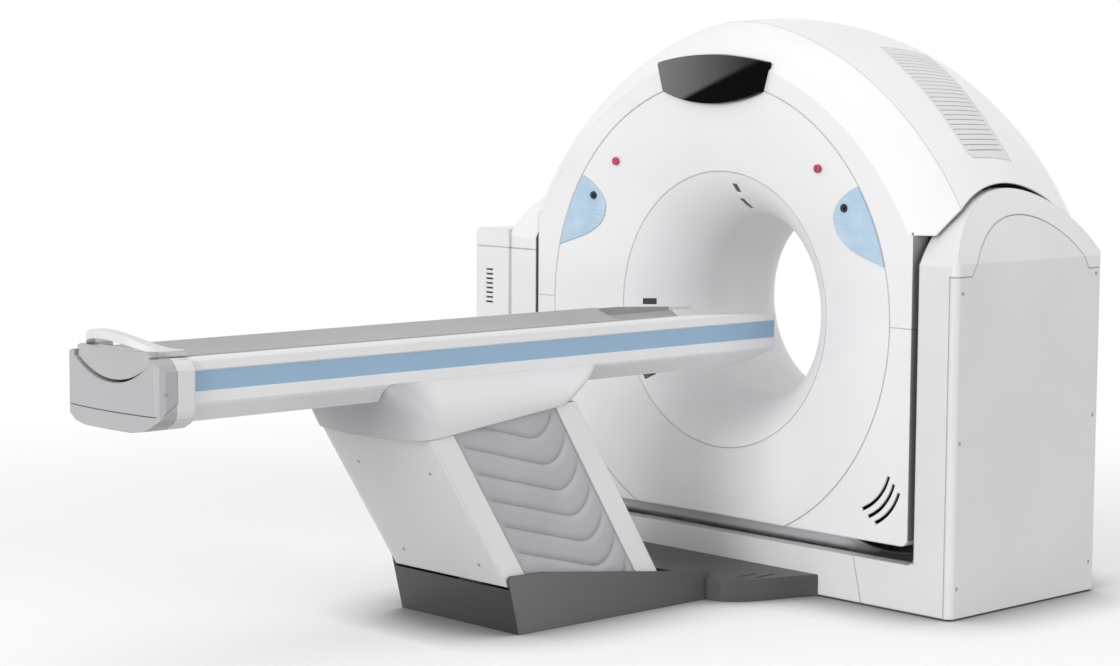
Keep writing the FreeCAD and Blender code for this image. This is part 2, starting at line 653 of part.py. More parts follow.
def bearing_inner_ring():
    r = BEARING_RADIUS - 0.6
    return ring(r, r - 38, FRAME_PLATE_Y - 75, FRAME_PLATE_Y - 5)


def drive_stator():
    """Ring of the direct drive, on the plate outside the bearing."""
    r = BEARING_RADIUS + 80
    body = ring(r + 36, r, FRAME_PLATE_Y - 50, FRAME_PLATE_Y)
    slots = []
    for i in range(24):
        slot = block(r - 3, r + 14, FRAME_PLATE_Y - 51, FRAME_PLATE_Y - 10, ISO_HEIGHT - 9, ISO_HEIGHT + 9)
        slot.rotate(Vector(0, 0, ISO_HEIGHT), Vector(0, 1, 0), 15.0 * i)
        slots.append(slot)
    return body.cut(Part.makeCompound(slots))


def brush_block():
    """Slip-ring brushes on a bracket from the ring plate."""
    x = -(BEARING_RADIUS - 100)
    body = block(x - 30, x + 30, FRAME_PLATE_Y + 30, FRAME_PLATE_Y + 90, ISO_HEIGHT - 90, ISO_HEIGHT + 90)
    arm = block(x - 90, x - 28, FRAME_PLATE_Y + 30, FRAME_PLATE_Y + 50, ISO_HEIGHT - 40, ISO_HEIGHT + 40)
    return fuse([body, arm])


# ---------------------------------------------------------------- rotor
ROTOR_FRONT = -ROTOR_PLATE_Y - ROTOR_PLATE


def rotor_drum():
    """Rotating plate with a hub ring into the bearing and an outer rim."""
    plate = ring(ROTOR_RADIUS, ROTOR_BORE, ROTOR_FRONT, -ROTOR_PLATE_Y)
    rim = ring(ROTOR_RADIUS, ROTOR_RADIUS - 14, ROTOR_FRONT - 90, ROTOR_FRONT)
    hub = ring(BEARING_RADIUS - 2, BEARING_RADIUS - 40, -ROTOR_PLATE_Y, FRAME_PLATE_Y - 75)
    magnets = ring(BEARING_RADIUS + 79, BEARING_RADIUS + 66, -ROTOR_PLATE_Y, FRAME_PLATE_Y - 4)
    drum = fuse([plate, rim, hub, magnets])
    holes = []
    for i in range(6):
        a = 30 + 60 * i
        p = polar(440.0, a, 0)
        holes.append(barrel(34, ROTOR_FRONT - 1, -ROTOR_PLATE_Y + 1, p.z, p.x))
    return drum.cut(Part.makeCompound(holes))


def slip_ring():
    """Grooved contact drum behind the hub."""
    r0, r1 = BEARING_RADIUS - 130, BEARING_RADIUS - 155
    y0 = -ROTOR_PLATE_Y
    body = ring(r0, r1, y0, FRAME_PLATE_Y + 84)
    for i in range(5):
        y = FRAME_PLATE_Y + 34 + 9 * i
        body = body.cut(ring(r0 + 1, r0 - 4, y, y + 4))
    return body


def xray_tube():
    """Tube housing at the top of the rotor, a stepped drum along the bore."""
    z = ISO_HEIGHT + 590
    housing = barrel(82, ROTOR_FRONT - 230, ROTOR_FRONT, z)
    nose = barrel(60, ROTOR_FRONT - 265, ROTOR_FRONT - 228, z)
    port = block(-45, 45, ROTOR_FRONT - 150, ROTOR_FRONT - 70, z - 105, z - 60)
    cooler = block(92, 230, ROTOR_FRONT - 130, ROTOR_FRONT, z - 95, z + 5)
    hose = rod(14, 60, 100, ROTOR_FRONT - 60, z - 30)
    return fuse([housing, nose, port, cooler, hose])


def collimator():
    z = ISO_HEIGHT + 590 - 105
    body = block(-95, 95, ROTOR_FRONT - 160, ROTOR_FRONT, z - 80, z)
    fan = prism_y([(-12, z + 1), (12, z + 1), (70, z - 81), (-70, z - 81)],
                  ROTOR_FRONT - 118, ROTOR_FRONT - 104)
    return body.cut(fan)


def detector_arc():
    """Curved detector opposite the tube, centred on the focal spot."""
    focus = ISO_HEIGHT + 590
    r = 1130.0
    y0, y1 = ROTOR_FRONT - 150, ROTOR_FRONT
    body = barrel(r + 70, y0, y1, focus).cut(barrel(r, y0 - 1, y1 + 1, focus))
    wedge = prism_y([(0, focus), (540, focus - 1300), (-540, focus - 1300)], y0 - 1, y1 + 1)
    body = body.common(wedge)
    modules = []
    for i in range(-10, 11):
        slit = block(-1, 1, y0 - 1, y1 - 20, focus - r - 12, focus - r + 10)
        slit.rotate(Vector(0, 0, focus), Vector(0, 1, 0), 2.1 * i)
        modules.append(slit)
    return body.cut(Part.makeCompound(modules)).common(barrel(ROTOR_RADIUS - 15, y0 - 1, y1))


def voltage_generator():
    box = block(-150, 150, ROTOR_FRONT - 150, ROTOR_FRONT, ISO_HEIGHT + 415, ISO_HEIGHT + 580)
    box.rotate(Vector(0, 0, ISO_HEIGHT), Vector(0, 1, 0), 62)
    return box.common(barrel(ROTOR_RADIUS - 15, -400, 0))


def counterweight():
    box = block(-170, 170, ROTOR_FRONT - 130, ROTOR_FRONT, ISO_HEIGHT + 470, ISO_HEIGHT + 600)
    box.rotate(Vector(0, 0, ISO_HEIGHT), Vector(0, 1, 0), -62)
    return box.common(barrel(ROTOR_RADIUS - 15, -400, 0))


# ---------------------------------------------------------------- stand
def tower_block(inset):
    """Tower with an ear: a side view with a round top, cut by the arch's own envelope."""
    i = inset
    foot = TOWER_FOOT if inset == 0 else TOWER_FOOT - 1
    depth = HALF_DEPTH - i
    radius = EAR_RADIUS - i
    top = ISO_HEIGHT + math.sqrt(radius ** 2 - depth ** 2)
    x0, x1 = TOWER_INNER_X + i, TOWER_OUTER_X - i
    p = [Vector(x0, y, z) for y, z in ((-depth, foot), (depth, foot), (depth, top),
                                       (0, ISO_HEIGHT + radius), (-depth, top))]
    side = face_of([line(p[0], p[1]), line(p[1], p[2]), arc(p[2], p[3], p[4]), line(p[4], p[0])])
    side = side.extrude(Vector(x1 - x0, 0, 0))
    a = ARCH_HALF_WIDTH - i
    b = ARCH_RISE - i
    shoulder = b * (1 - (x1 / a) ** ARCH_POWER) ** (1 / ARCH_POWER)
    heights = [shoulder + (EAR_RADIUS + 20 - shoulder) * k / 5 for k in range(6)]
    curve = [Vector(a * (1 - (h / b) ** ARCH_POWER) ** (1 / ARCH_POWER), -depth, ISO_HEIGHT + h)
             for h in heights]
    spline = Part.BSplineCurve()
    spline.interpolate(curve)
    q0 = Vector(x0, -depth, foot)
    q1 = Vector(x1, -depth, foot)
    q2 = Vector(x0, -depth, curve[-1].z)
    front = face_of([line(q0, q1), line(q1, curve[0]), spline.toShape(), line(curve[-1], q2), line(q2, q0)])
    tower = side.common(front.extrude(Vector(0, 2 * depth, 0)))
    outer = [e for e in tower.Edges if e.BoundBox.YLength < 0.01 and e.BoundBox.XMin > x0 + 5
             and e.BoundBox.ZLength > 20]
    return tower.makeFillet(TOWER_CORNER - i, outer)


def panel_prism(grow):
    """Side panel's envelope: an upright band below the shoulders and a round arch above them."""
    shoulder = PANEL_SHOULDER_Z + grow
    depth = HALF_DEPTH + 10
    band = block(PANEL_EDGE_X - grow, TOWER_OUTER_X + 20, -depth, depth, 0, shoulder)
    crown = rod(PANEL_RADIUS + grow, PANEL_ARCH_X, TOWER_OUTER_X + 20, 0, ISO_HEIGHT)
    crown = crown.common(block(PANEL_ARCH_X, TOWER_OUTER_X + 20, -depth, depth, shoulder - 20, 1400))
    return fuse([band, crown])


def tower_shell():
    outer = tower_block(0)
    shell = outer.cut(tower_block(COVER_WALL))
    foot = prism_y([(TOWER_INNER_X + 1, TOWER_FOOT), (TOWER_INNER_X + 1, SILL_HEIGHT),
                    (SILL_FOOT_X - 19, SILL_HEIGHT), (SILL_FOOT_X + 19, TOWER_FOOT)],
                   -HALF_DEPTH, -HALF_DEPTH + SILL_DEPTH)
    r = FOOT_FILLET
    fillet = block(TOWER_INNER_X - r, TOWER_INNER_X + 1, -HALF_DEPTH, -HALF_DEPTH + SILL_DEPTH,
                   SILL_HEIGHT - 1, SILL_HEIGHT + r)
    fillet = fillet.cut(barrel(r, -HALF_DEPTH - 1, 0, SILL_HEIGHT + r, TOWER_INNER_X - r))
    foot = fuse([foot, fillet])
    feet = [foot, foot.mirror(Vector(0, 0, 0), Vector(0, 1, 0))]
    shell = fuse([shell] + feet)
    passage = block(TOWER_INNER_X - 1, TOWER_INNER_X + COVER_WALL + 1, -FRAME_HALF_DEPTH - 1,
                    FRAME_HALF_DEPTH + 1, 0, FRAME_HEIGHT + 1)
    shell = shell.cut(passage)
    x0, x1 = TOWER_INNER_X - 5, TOWER_INNER_X + COVER_WALL + 5
    return shell.cut(rod(TRUNNION_RADIUS + 30, x0, x1, 0, ISO_HEIGHT))


def panel_groove():
    skin = tower_block(0).cut(tower_block(GROOVE))
    return panel_prism(GROOVE / 2).cut(panel_prism(-GROOVE / 2)).common(skin)


def right_tower():
    shell = tower_shell()
    groove = panel_groove()
    prism = panel_prism(0)
    return shell.cut(prism).cut(groove), shell.common(prism).cut(groove)


def left_tower():
    """Left tower: split level with the cabinet's lid into a cap and a column."""
    shell = mirrored(tower_shell())
    groove = mirrored(tower_block(0).cut(tower_block(GROOVE))).common(
        block(-FAR, 0, -500, 500, CAP_SEAM_Z - GROOVE / 2, CAP_SEAM_Z + GROOVE / 2))
    cap = shell.common(block(-FAR, 0, -500, 500, CAP_SEAM_Z, 1500)).cut(groove)
    column = shell.common(block(-FAR, 0, -500, 500, 0, CAP_SEAM_Z)).cut(groove)
    return cap, column


def cabinet_outline(inset):
    i = inset
    x0, x1 = -CABINET_OUTER_X + i, -TOWER_OUTER_X - i
    top = CABINET_HEIGHT - i
    r = 48.0
    k = r * (1 - math.sqrt(0.5))
    p = [Vector(x, -HALF_DEPTH, z) for x, z in (
        (x0, TOWER_FOOT - i), (x1, TOWER_FOOT - i), (x1, top), (x0 + r, top), (x0 + k, top - k),
        (x0, top - r))]
    return face_of([line(p[0], p[1]), line(p[1], p[2]), line(p[2], p[3]), arc(p[3], p[4], p[5]),
                    line(p[5], p[0])])


def side_cabinet():
    """Cabinet beside the left tower: body with a louvre column, and its lid."""
    depth = 2 * HALF_DEPTH
    outer = cabinet_outline(0).extrude(Vector(0, depth, 0))
    inner = cabinet_outline(COVER_WALL).extrude(Vector(0, depth - 2 * COVER_WALL, 0))
    inner.translate(Vector(0, COVER_WALL, 0))
    shell = outer.cut(inner)
    body = shell.common(block(-FAR, 0, -500, 500, 0, CAP_SEAM_Z - GROOVE / 2))
    lid = shell.common(block(-FAR, 0, -500, 500, CAP_SEAM_Z + GROOVE / 2, FAR))
    x0, x1 = -CABINET_OUTER_X + 3, -TOWER_OUTER_X - 3
    tie = block(x0, x1, -HALF_DEPTH + 3, HALF_DEPTH - 3, CAP_SEAM_Z - GROOVE, CAP_SEAM_Z + GROOVE / 2)
    hollow = block(x0 + 5, x1 - 5, -HALF_DEPTH + 8, HALF_DEPTH - 8, CAP_SEAM_Z - 10, CAP_SEAM_Z + 10)
    body = body.cut(tie).fuse(tie.cut(hollow))
    slots = []
    for i in range(8):
        z = CAP_SEAM_Z - 218.0 + 18.0 * i
        slots.append(block(-1212, -1172, -HALF_DEPTH - 1, -HALF_DEPTH + COVER_WALL + 1, z, z + 6))
    body = body.cut(Part.makeCompound(slots))
    return round_corners(body), round_corners(lid)


def round_corners(shape):
    """Round the two upright outer corners of a cabinet part."""
    x, d, r = -CABINET_OUTER_X, HALF_DEPTH, TOWER_CORNER
    for sy in (1, -1):
        y0, y1 = sorted((sy * d, sy * (d - r)))
        corner = block(x, x + r, y0, y1, -10, CABINET_HEIGHT + 10)
        post = Part.makeCylinder(r, CABINET_HEIGHT + 20, Vector(x + r, sy * (d - r), -10), UP)
        shape = shape.cut(corner.cut(post))
    return shape


def front_sill():
    """Sill cover between the tower feet, notched over the floor connection."""
    y0, y1 = -HALF_DEPTH, -HALF_DEPTH + SILL_DEPTH
    half = SILL_FOOT_X - SEAM_GAP
    outer = prism_y([(-half - 19, TOWER_FOOT), (half + 19, TOWER_FOOT), (half - 19, SILL_HEIGHT),
                     (-half + 19, SILL_HEIGHT)], y0, y1)
    inner = block(-half + 30, half - 30, y0 + COVER_WALL, y1 + 1, TOWER_FOOT - 1, SILL_HEIGHT - COVER_WALL)
    notch = block(-NOTCH_HALF_WIDTH, NOTCH_HALF_WIDTH, y0 - 1, y1 + 1, TOWER_FOOT - 1, NOTCH_HEIGHT)
    cover = outer.cut(inner).cut(notch)
    for sx in (1, -1):
        seam = prism_y([(sx * (half + 19), TOWER_FOOT), (sx * (half + 22), TOWER_FOOT),
                        (sx * (half - 16), SILL_HEIGHT), (sx * (half - 19 - GROOVE), SILL_HEIGHT),
                        (sx * (half + 19 - GROOVE), TOWER_FOOT)], y0 - 1, y0 + GROOVE)
        cover = cover.cut(seam)
    return cover


def rear_sill():
    half = SILL_FOOT_X - SEAM_GAP
    y0, y1 = HALF_DEPTH - SILL_DEPTH, HALF_DEPTH
    outer = prism_y([(-half - 19, TOWER_FOOT), (half + 19, TOWER_FOOT), (half - 19, SILL_HEIGHT),
                     (-half + 19, SILL_HEIGHT)], y0, y1)
    inner = block(-half + 30, half - 30, y0 - 1, y1 - COVER_WALL, TOWER_FOOT - 1, SILL_HEIGHT - COVER_WALL)
    return outer.cut(inner)


def base_frame():
    """Floor frame: a plate, two cross beams under the head, and shelves that carry the sills."""
    d, top = FRAME_HALF_DEPTH, FRAME_HEIGHT
    x0, x1 = TOWER_INNER_X + COVER_WALL, TOWER_OUTER_X - TOWER_CORNER - 2
    long = HALF_DEPTH - COVER_WALL
    parts = [block(-x1, x1, -d, d, 0, BASE_PLATE)]
    for y in CROSS_BEAM_Y:
        parts.append(block(-x0, x0, y, y + CROSS_BEAM, BASE_PLATE, top))
    for sx in (1, -1):
        xa, xb = sorted((sx * x0, sx * x1))
        for y in (10 - d, d - 50):
            parts.append(block(xa, xb, y, y + 40, BASE_PLATE, top))
        parts.append(block(xa, xb, -long, long, BASE_PLATE, RAIL_HEIGHT))
    for y0, y1 in ((-HALF_DEPTH + COVER_WALL, -299), (299, HALF_DEPTH - COVER_WALL)):
        parts.append(block(-SHELF_HALF_WIDTH, SHELF_HALF_WIDTH, y0, y1, top - 8, top))
    return fuse(parts).cut(anchor_holes(0.0, 800.0, 200.0, BASE_PLATE))


def anchor_holes(y, half_x, half_y, depth):
    """Four floor anchor holes about a centre on the bore's line."""
    holes = [Part.makeCylinder(ANCHOR_RADIUS, depth + 2, Vector(sx * half_x, y + sy * half_y, -1), UP)
             for sx in (1, -1) for sy in (1, -1)]
    return Part.makeCompound(holes)


def tower_frame(side):
    """Steel column that holds the pivot bearing at the tilt axis."""
    x0, x1 = TOWER_INNER_X + COVER_WALL + 7, TOWER_INNER_X + 75
    z = ISO_HEIGHT
    p = [Vector(x0, a, b) for a, b in ((-290, 30), (290, 30), (125, z), (0, z + 125), (-125, z))]
    body = face_of([line(p[0], p[1]), line(p[1], p[2]), arc(p[2], p[3], p[4]), line(p[4], p[0])])
    body = body.extrude(Vector(x1 - x0, 0, 0))
    window = prism_x([(-200, 110), (200, 110), (95, 720), (-95, 720)], x0 - 1, x1 + 1)
    body = body.cut(window).cut(rod(TRUNNION_RADIUS + 22, x0 - 1, x1 + 1, 0, z))
    brackets = [block(x1 - 20, TOWER_OUTER_X - COVER_WALL, y - 20, y + 20, 300, 340) for y in (-180, 180)]
    stays = [block(x1 - 20, TOWER_OUTER_X - COVER_WALL, y - 15, y + 15, 600, 630) for y in (-120, 120)]
    ties = [block(TOWER_INNER_X + COVER_WALL, x0 + 5, y - 20, y + 20, 500, 540) for y in (-150, 150)]
    body = fuse([body] + brackets + stays + ties)
    return body if side > 0 else mirrored(body)


def pivot_bearings():
    r = TRUNNION_RADIUS + SHAFT_CLEARANCE
    x0, x1 = TOWER_INNER_X + COVER_WALL + 12, TOWER_INNER_X + 70
    one = rod(TRUNNION_RADIUS + 22, x0, x1, 0, ISO_HEIGHT).cut(rod(r, x0 - 1, x1 + 1, 0, ISO_HEIGHT))
    return Part.makeCompound([one, mirrored(one)])


def tilt_gearmotor():
    """Pancake gearbox over the right trunnion's end, with its motor below."""
    x0, x1 = TOWER_INNER_X + 75, TOWER_OUTER_X - COVER_WALL - 3
    box = rod(105, x0, x1, 0, ISO_HEIGHT)
    box = box.cut(rod(TRUNNION_RADIUS + 2, x0 - 1, x0 + 14, 0, ISO_HEIGHT))
    motor = Part.makeCylinder(30, 190, Vector((x0 + x1) / 2, 60, ISO_HEIGHT - 260), UP)
    neck = block(x0, x1, 25, 95, ISO_HEIGHT - 100, ISO_HEIGHT - 60)
    return fuse([box, motor, neck])


# ---------------------------------------------------------------- table base
LEAN = math.radians(ARM_LEAN)
REAR_PIVOT_Y = FRONT_PIVOT_Y + ARM_SPACING
TOP_SHIFT_Y = -ARM_LENGTH * math.sin(LEAN)
TOP_PIVOT_Z = BASE_PIVOT_Z + ARM_LENGTH * math.cos(LEAN)


def table_base():
    """Open tray that leans out at the foot end and falls toward the gantry."""
    w = BASE_WALL
    x = BASE_HALF_WIDTH
    lean = BASE_LEAN * BASE_SIDE_TOP / BASE_FRONT_TOP
    r = 18.0
    front_top = Vector(-x, BASE_FRONT_Y - lean * 0.93, BASE_SIDE_TOP - r)
    p = [Vector(-x, BASE_FRONT_Y, 0), front_top,
         Vector(-x, BASE_FRONT_Y - lean + 6, BASE_SIDE_TOP - 5),
         Vector(-x, BASE_FRONT_Y - lean + r + 4, BASE_SIDE_TOP),
         Vector(-x, -1490, BASE_SIDE_TOP - 3), Vector(-x, BASE_REAR_Y, BASE_REAR_TOP),
         Vector(-x, BASE_REAR_Y, 0)]
    edges = [line(p[0], p[1]), arc(p[1], p[2], p[3]), line(p[3], p[4]), line(p[4], p[5]),
             line(p[5], p[6]), line(p[6], p[0])]
    tray = face_of(edges).extrude(Vector(2 * x, 0, 0))
    pocket = prism_x([(BASE_FRONT_Y + w, 40), (BASE_FRONT_Y - BASE_LEAN + w, 150), (BASE_FRONT_Y - 50, 300),
                      (-885, 300), (-885, 40)], -x + w, x - w)
    front_gap = block(-x + w, x - w, BASE_FRONT_Y - 80, BASE_FRONT_Y - BASE_LEAN + w + 4,
                      BASE_FRONT_TOP, 300)
    tray = tray.cut(pocket).cut(front_gap)
    blocks = []
    z = BASE_PIVOT_Z
    for y, post in ((FRONT_PIVOT_Y, (22, 64)), (REAR_PIVOT_Y, (-60, 12))):
        for cx in (130.0, -130.0):
            x0, x1 = cx - 12, cx + 12
            ear = block(x0, x1, y + post[0], y + post[1], 38, z + 18)
            neck = block(x0, x1, y + min(0, post[0]), y + post[1], z - 18, z + 18)
            boss = rod(30, x0, x1, y, z)
            bore = rod(PIN_RADIUS + SHAFT_CLEARANCE, x0 - 1, x1 + 1, y, z)
            blocks.append(fuse([ear, neck, boss]).cut(bore))
    tray = fuse([tray] + blocks)
    keep = block(-x - 1, x + 1, BASE_FRONT_Y - 80, BASE_REAR_Y + 1, 0, 400)
    return tray.common(keep).cut(anchor_holes(-1225.0, 220.0, 275.0, 40.0))


def floor_connection():
    """Low cover that flares from the table base to the gantry's sill."""
    w = BASE_WALL
    y0, y1 = BASE_REAR_Y + SEAM_GAP, -HALF_DEPTH - SEAM_GAP
    half = NOTCH_HALF_WIDTH - SEAM_GAP
    tongue_top = NOTCH_HEIGHT - SEAM_GAP

    def outline(inset, z):
        i = inset
        (xa, ya), (xb, yb) = CONNECTION_SIDE[:2]
        first, heel = Vector(xa - i, ya + i, z), Vector(xb - i, yb + i, z)
        flare = [heel] + [Vector(x - i, y, z) for x, y in CONNECTION_SIDE[2:]] + [Vector(half - i, y1, z)]
        across = [Vector(-v.x, v.y, z) for v in reversed(flare)]
        l_first = Vector(-first.x, first.y, z)
        side, other = Part.BSplineCurve(), Part.BSplineCurve()
        side.interpolate(flare)
        other.interpolate(across)
        return face_of([line(first, heel), side.toShape(), line(flare[-1], across[0]), other.toShape(),
                        line(across[-1], l_first), line(l_first, first)])

    outer = outline(0, 0).extrude(Vector(0, 0, CONNECTION_Z))
    inner = outline(w, -1).extrude(Vector(0, 0, CONNECTION_Z - w + 1))
    base = block(-BASE_HALF_WIDTH - SEAM_GAP, BASE_HALF_WIDTH + SEAM_GAP, -800, y0, -1, 200)
    cover = outer.cut(inner).cut(base)
    tongue = block(-half, half, y1 - 1, -HALF_DEPTH + SILL_DEPTH - 1, 0, tongue_top)
    tongue = tongue.cut(block(-half + w, half - w, y1 - 2, -300, -1, tongue_top - w))
    tongue = tongue.cut(block(-half + w, half - w, y1 - 2, y1 + 3, -1, tongue_top - w))
    cover = fuse([cover.cut(block(-half + w, half - w, y1 - w - 1, y1 + 1, -1, CONNECTION_Z - w)), tongue])
    for x0, x1, y in ((352, 364, -600), (400, 412, -560)):
        for sx in (1, -1):
            xa, xb = sorted((sx * x0, sx * x1))
            cover = cover.cut(block(xa, xb, y - 50, y + 50, CONNECTION_Z - 3, CONNECTION_Z + 1))
    return cover


def arm_point(pivot_y, along, across):
    """Point in the side view: along the arm from its base pivot, across to the +Y side."""
    s, c = math.sin(LEAN), math.cos(LEAN)
    return pivot_y - along * s + across * c, BASE_PIVOT_Z + along * c + across * s


def arm_cover(pivot_y, face_side, cuts):
    """U-shaped cover round an arm: outer face, and a flange down each side."""
    w = 5.0
    f = face_side * ARM_FACE
    g = f - face_side * ARM_FLANGE
    low, high = -140.0, ARM_LENGTH + 60.0
    outer = [arm_point(pivot_y, a, b) for a, b in ((low, f), (high, f), (high, g), (low, g))]
    inner = [arm_point(pivot_y, a, b) for a, b in (
        (low - 9, f - face_side * w), (high + 9, f - face_side * w),
        (high + 9, g - face_side * 9), (low - 9, g - face_side * 9))]
    body = prism_x(outer, -ARM_HALF_WIDTH, ARM_HALF_WIDTH)
    body = body.cut(prism_x(inner, -ARM_HALF_WIDTH + w, ARM_HALF_WIDTH - w))
    return body.common(block(-300, 300, -2400, -700, cuts[0], cuts[1]))


def lift_arm(pivot_y, face_side):
    """Two steel links joined by cross tubes, bored for the pins at both ends."""
    parts = []
    top_y, top_z = pivot_y + TOP_SHIFT_Y, TOP_PIVOT_Z
    hub = 27.0
    for sx in (1, -1):
        x0, x1 = sorted((sx * 160.0, sx * 190.0))
        a = [arm_point(pivot_y, 0, -hub), arm_point(pivot_y, ARM_LENGTH, -hub),
             arm_point(pivot_y, ARM_LENGTH, hub), arm_point(pivot_y, 0, hub)]
        parts += [prism_x(a, x0, x1), rod(hub, x0, x1, pivot_y, BASE_PIVOT_Z),
                  rod(hub, x0, x1, top_y, top_z)]
    for along in (110.0, ARM_LENGTH - 110.0):
        y, z = arm_point(pivot_y, along, 0)
        parts.append(rod(20, -165, 165, y, z))
    for along in (160.0, ARM_LENGTH - 160.0):
        near, far = face_side * 10.0, face_side * (ARM_FACE - 5.0)
        strip = [arm_point(pivot_y, along + step, across)
                 for step, across in ((-15, near), (15, near), (15, far), (-15, far))]
        parts.append(prism_x(strip, -180, 180))
    arm = fuse(parts)
    for y, z in ((pivot_y, BASE_PIVOT_Z), (top_y, top_z)):
        arm = arm.cut(rod(PIN_RADIUS + SHAFT_CLEARANCE, -300, 300, y, z))
    return arm


def base_pins():
    pins = []
    for y in (FRONT_PIVOT_Y, REAR_PIVOT_Y):
        pins.append(rod(PIN_RADIUS, -200, 200, y, BASE_PIVOT_Z))
    return Part.makeCompound(pins)


def lift_gearmotor():
    """Gearbox on the front base pin with the lift motor lying in the tray."""
    y, z = FRONT_PIVOT_Y, BASE_PIVOT_Z
    hub = rod(28, -60, 60, y, z)
    neck = block(-60, 60, y, y + 70, z - 18, z + 18)
    case = block(-60, 60, y + 64, y + 150, 40, z + 18)
    motor = barrel(52, y + 150, y + 400, 104)
    foot = block(-40, 40, y + 150, y + 390, 40, 70)
    return fuse([hub, neck, case, motor, foot]).cut(rod(PIN_RADIUS + SHAFT_CLEARANCE, -61, 61, y, z))


# ---------------------------------------------------------------- bellows


def fold_shift(across):
    """How far the folds sag along the arm: straight, then hooked up at the rear arm."""
    sag = -1.06 * (min(across, 300.0) - 100.0)
    if across > 300.0:
        sag += -0.75 * (across - 300.0) + 0.0074 * (across - 300.0) ** 2
    return sag


def bellows(side):
    """Pleated side curtain between the two arm covers."""
    front_edge = ARM_FLANGE - ARM_FACE + GLIDE_GAP
    back_edge = ARM_SPACING * math.cos(LEAN) - front_edge
    stations = [front_edge, 100.0, 300.0, 322.0, 344.0, 366.0, 388.0, 410.0, back_edge]
    sections = []
    for across in stations:
        outline = []
        for x in (CURTAIN_X, CURTAIN_X - CURTAIN_THICKNESS):
            row = []
            for k in range(-8, 17):
                along = 6.0 + FOLD_PITCH * (k / 2.0) + fold_shift(across)
                y, z = arm_point(FRONT_PIVOT_Y, along, across)
                row.append(Vector(x + FOLD_DEPTH * (k % 2), y, z))
            outline += row if x == CURTAIN_X else row[::-1]
        sections.append(Part.makePolygon(outline + [outline[0]]))
    curtain = Part.makeLoft(sections, True, True)
    curtain = curtain.common(block(200, 300, -2400, -700, CURTAIN_Z[0], CURTAIN_Z[1]))
    return mirrored(curtain) if side < 0 else curtain


# ---------------------------------------------------------------- carriage, beam, cradle
def beam_section(inset=0.0):
    x = BEAM_HALF_WIDTH
    s = STRIPE_DEPTH
    right = [(x - 55, BEAM_BOTTOM), (x - 6, CHAMFER_TOP - 9), (x, CHAMFER_TOP), (x, STRIPE_BOTTOM - 3),
             (x - s, STRIPE_BOTTOM), (x - s, STRIPE_TOP), (x, STRIPE_TOP + 3), (x, BEAM_TOP - 12),
             (x - 5, BEAM_TOP - 3), (x - 12, BEAM_TOP)]
    left = [(-a, b) for a, b in reversed(right)]
    return right + left


def table_beam():
    """Long closed beam with a recessed stripe and a channel between its rails."""
    beam = prism_y(beam_section(), BEAM_FOOT_Y, BEAM_HEAD_Y)
    rake = prism_x([(BEAM_HEAD_Y - BEAM_RAKE[0], BEAM_BOTTOM - 1), (BEAM_HEAD_Y + 1, BEAM_BOTTOM - 1),
                    (BEAM_HEAD_Y + 1, BEAM_BOTTOM + BEAM_RAKE[1])], -300, 300)
    start = BEAM_HEAD_Y - DECK_FALL_LENGTH
    fall = prism_x([(start, BEAM_TOP), (BEAM_HEAD_Y + 1, BEAM_TOP - DECK_FALL),
                    (BEAM_HEAD_Y + 1, BEAM_TOP + 1), (start, BEAM_TOP + 1)], -300, 300)
    return beam.cut(rake).cut(fall).cut(channel_space())


def channel_space(y0=BEAM_FOOT_Y - 10):
    """Channel in the beam: upright between the rails, round below the glide ledges."""
    y1 = BEAM_HEAD_Y + 10
    upper = block(-RAIL_INNER_X, RAIL_INNER_X, y0, y1, LEDGE_Z, BEAM_TOP + 60)
    a, b = Vector(LEDGE_INNER_X, y0, LEDGE_Z), Vector(-LEDGE_INNER_X, y0, LEDGE_Z)
    lower = face_of([arc(a, Vector(0, y0, CHANNEL_FLOOR_Z), b), line(b, a)]).extrude(Vector(0, y1 - y0, 0))
    return fuse([upper, lower])


def cradle():
    """Dished pallet that glides on the ledges between the beam's rails."""
    w, y0 = CRADLE_HALF_WIDTH, CRADLE_FOOT_Y
    base, top = LEDGE_Z + GLIDE_GAP, CRADLE_EDGE_Z
    keel = LEDGE_INNER_X - 6
    lip = w - 9
    floor = top - CRADLE_SAG

    def v(x, z):
        return Vector(x, y0, z)

    right = [v(keel, base), v(w, base), v(w, top - 3), v(w - 3, top), v(lip, top)]
    left = [Vector(-p.x, p.y, p.z) for p in right[::-1]]
    edges = [line(p, q) for p, q in zip(right[:-1], right[1:])]
    edges.append(arc(right[-1], v(0, floor), left[0]))
    edges += [line(p, q) for p, q in zip(left[:-1], left[1:])]
    edges.append(arc(left[-1], v(0, floor - CRADLE_WALL), right[0]))
    return face_of(edges).extrude(Vector(0, CRADLE_HEAD_Y - y0, 0))


def lens_arc(half, corner_z, mid_z, y):
    """Arc in a cross plane through two corners and a middle point."""
    return arc(Vector(half, y, corner_z), Vector(0, y, mid_z), Vector(-half, y, corner_z))


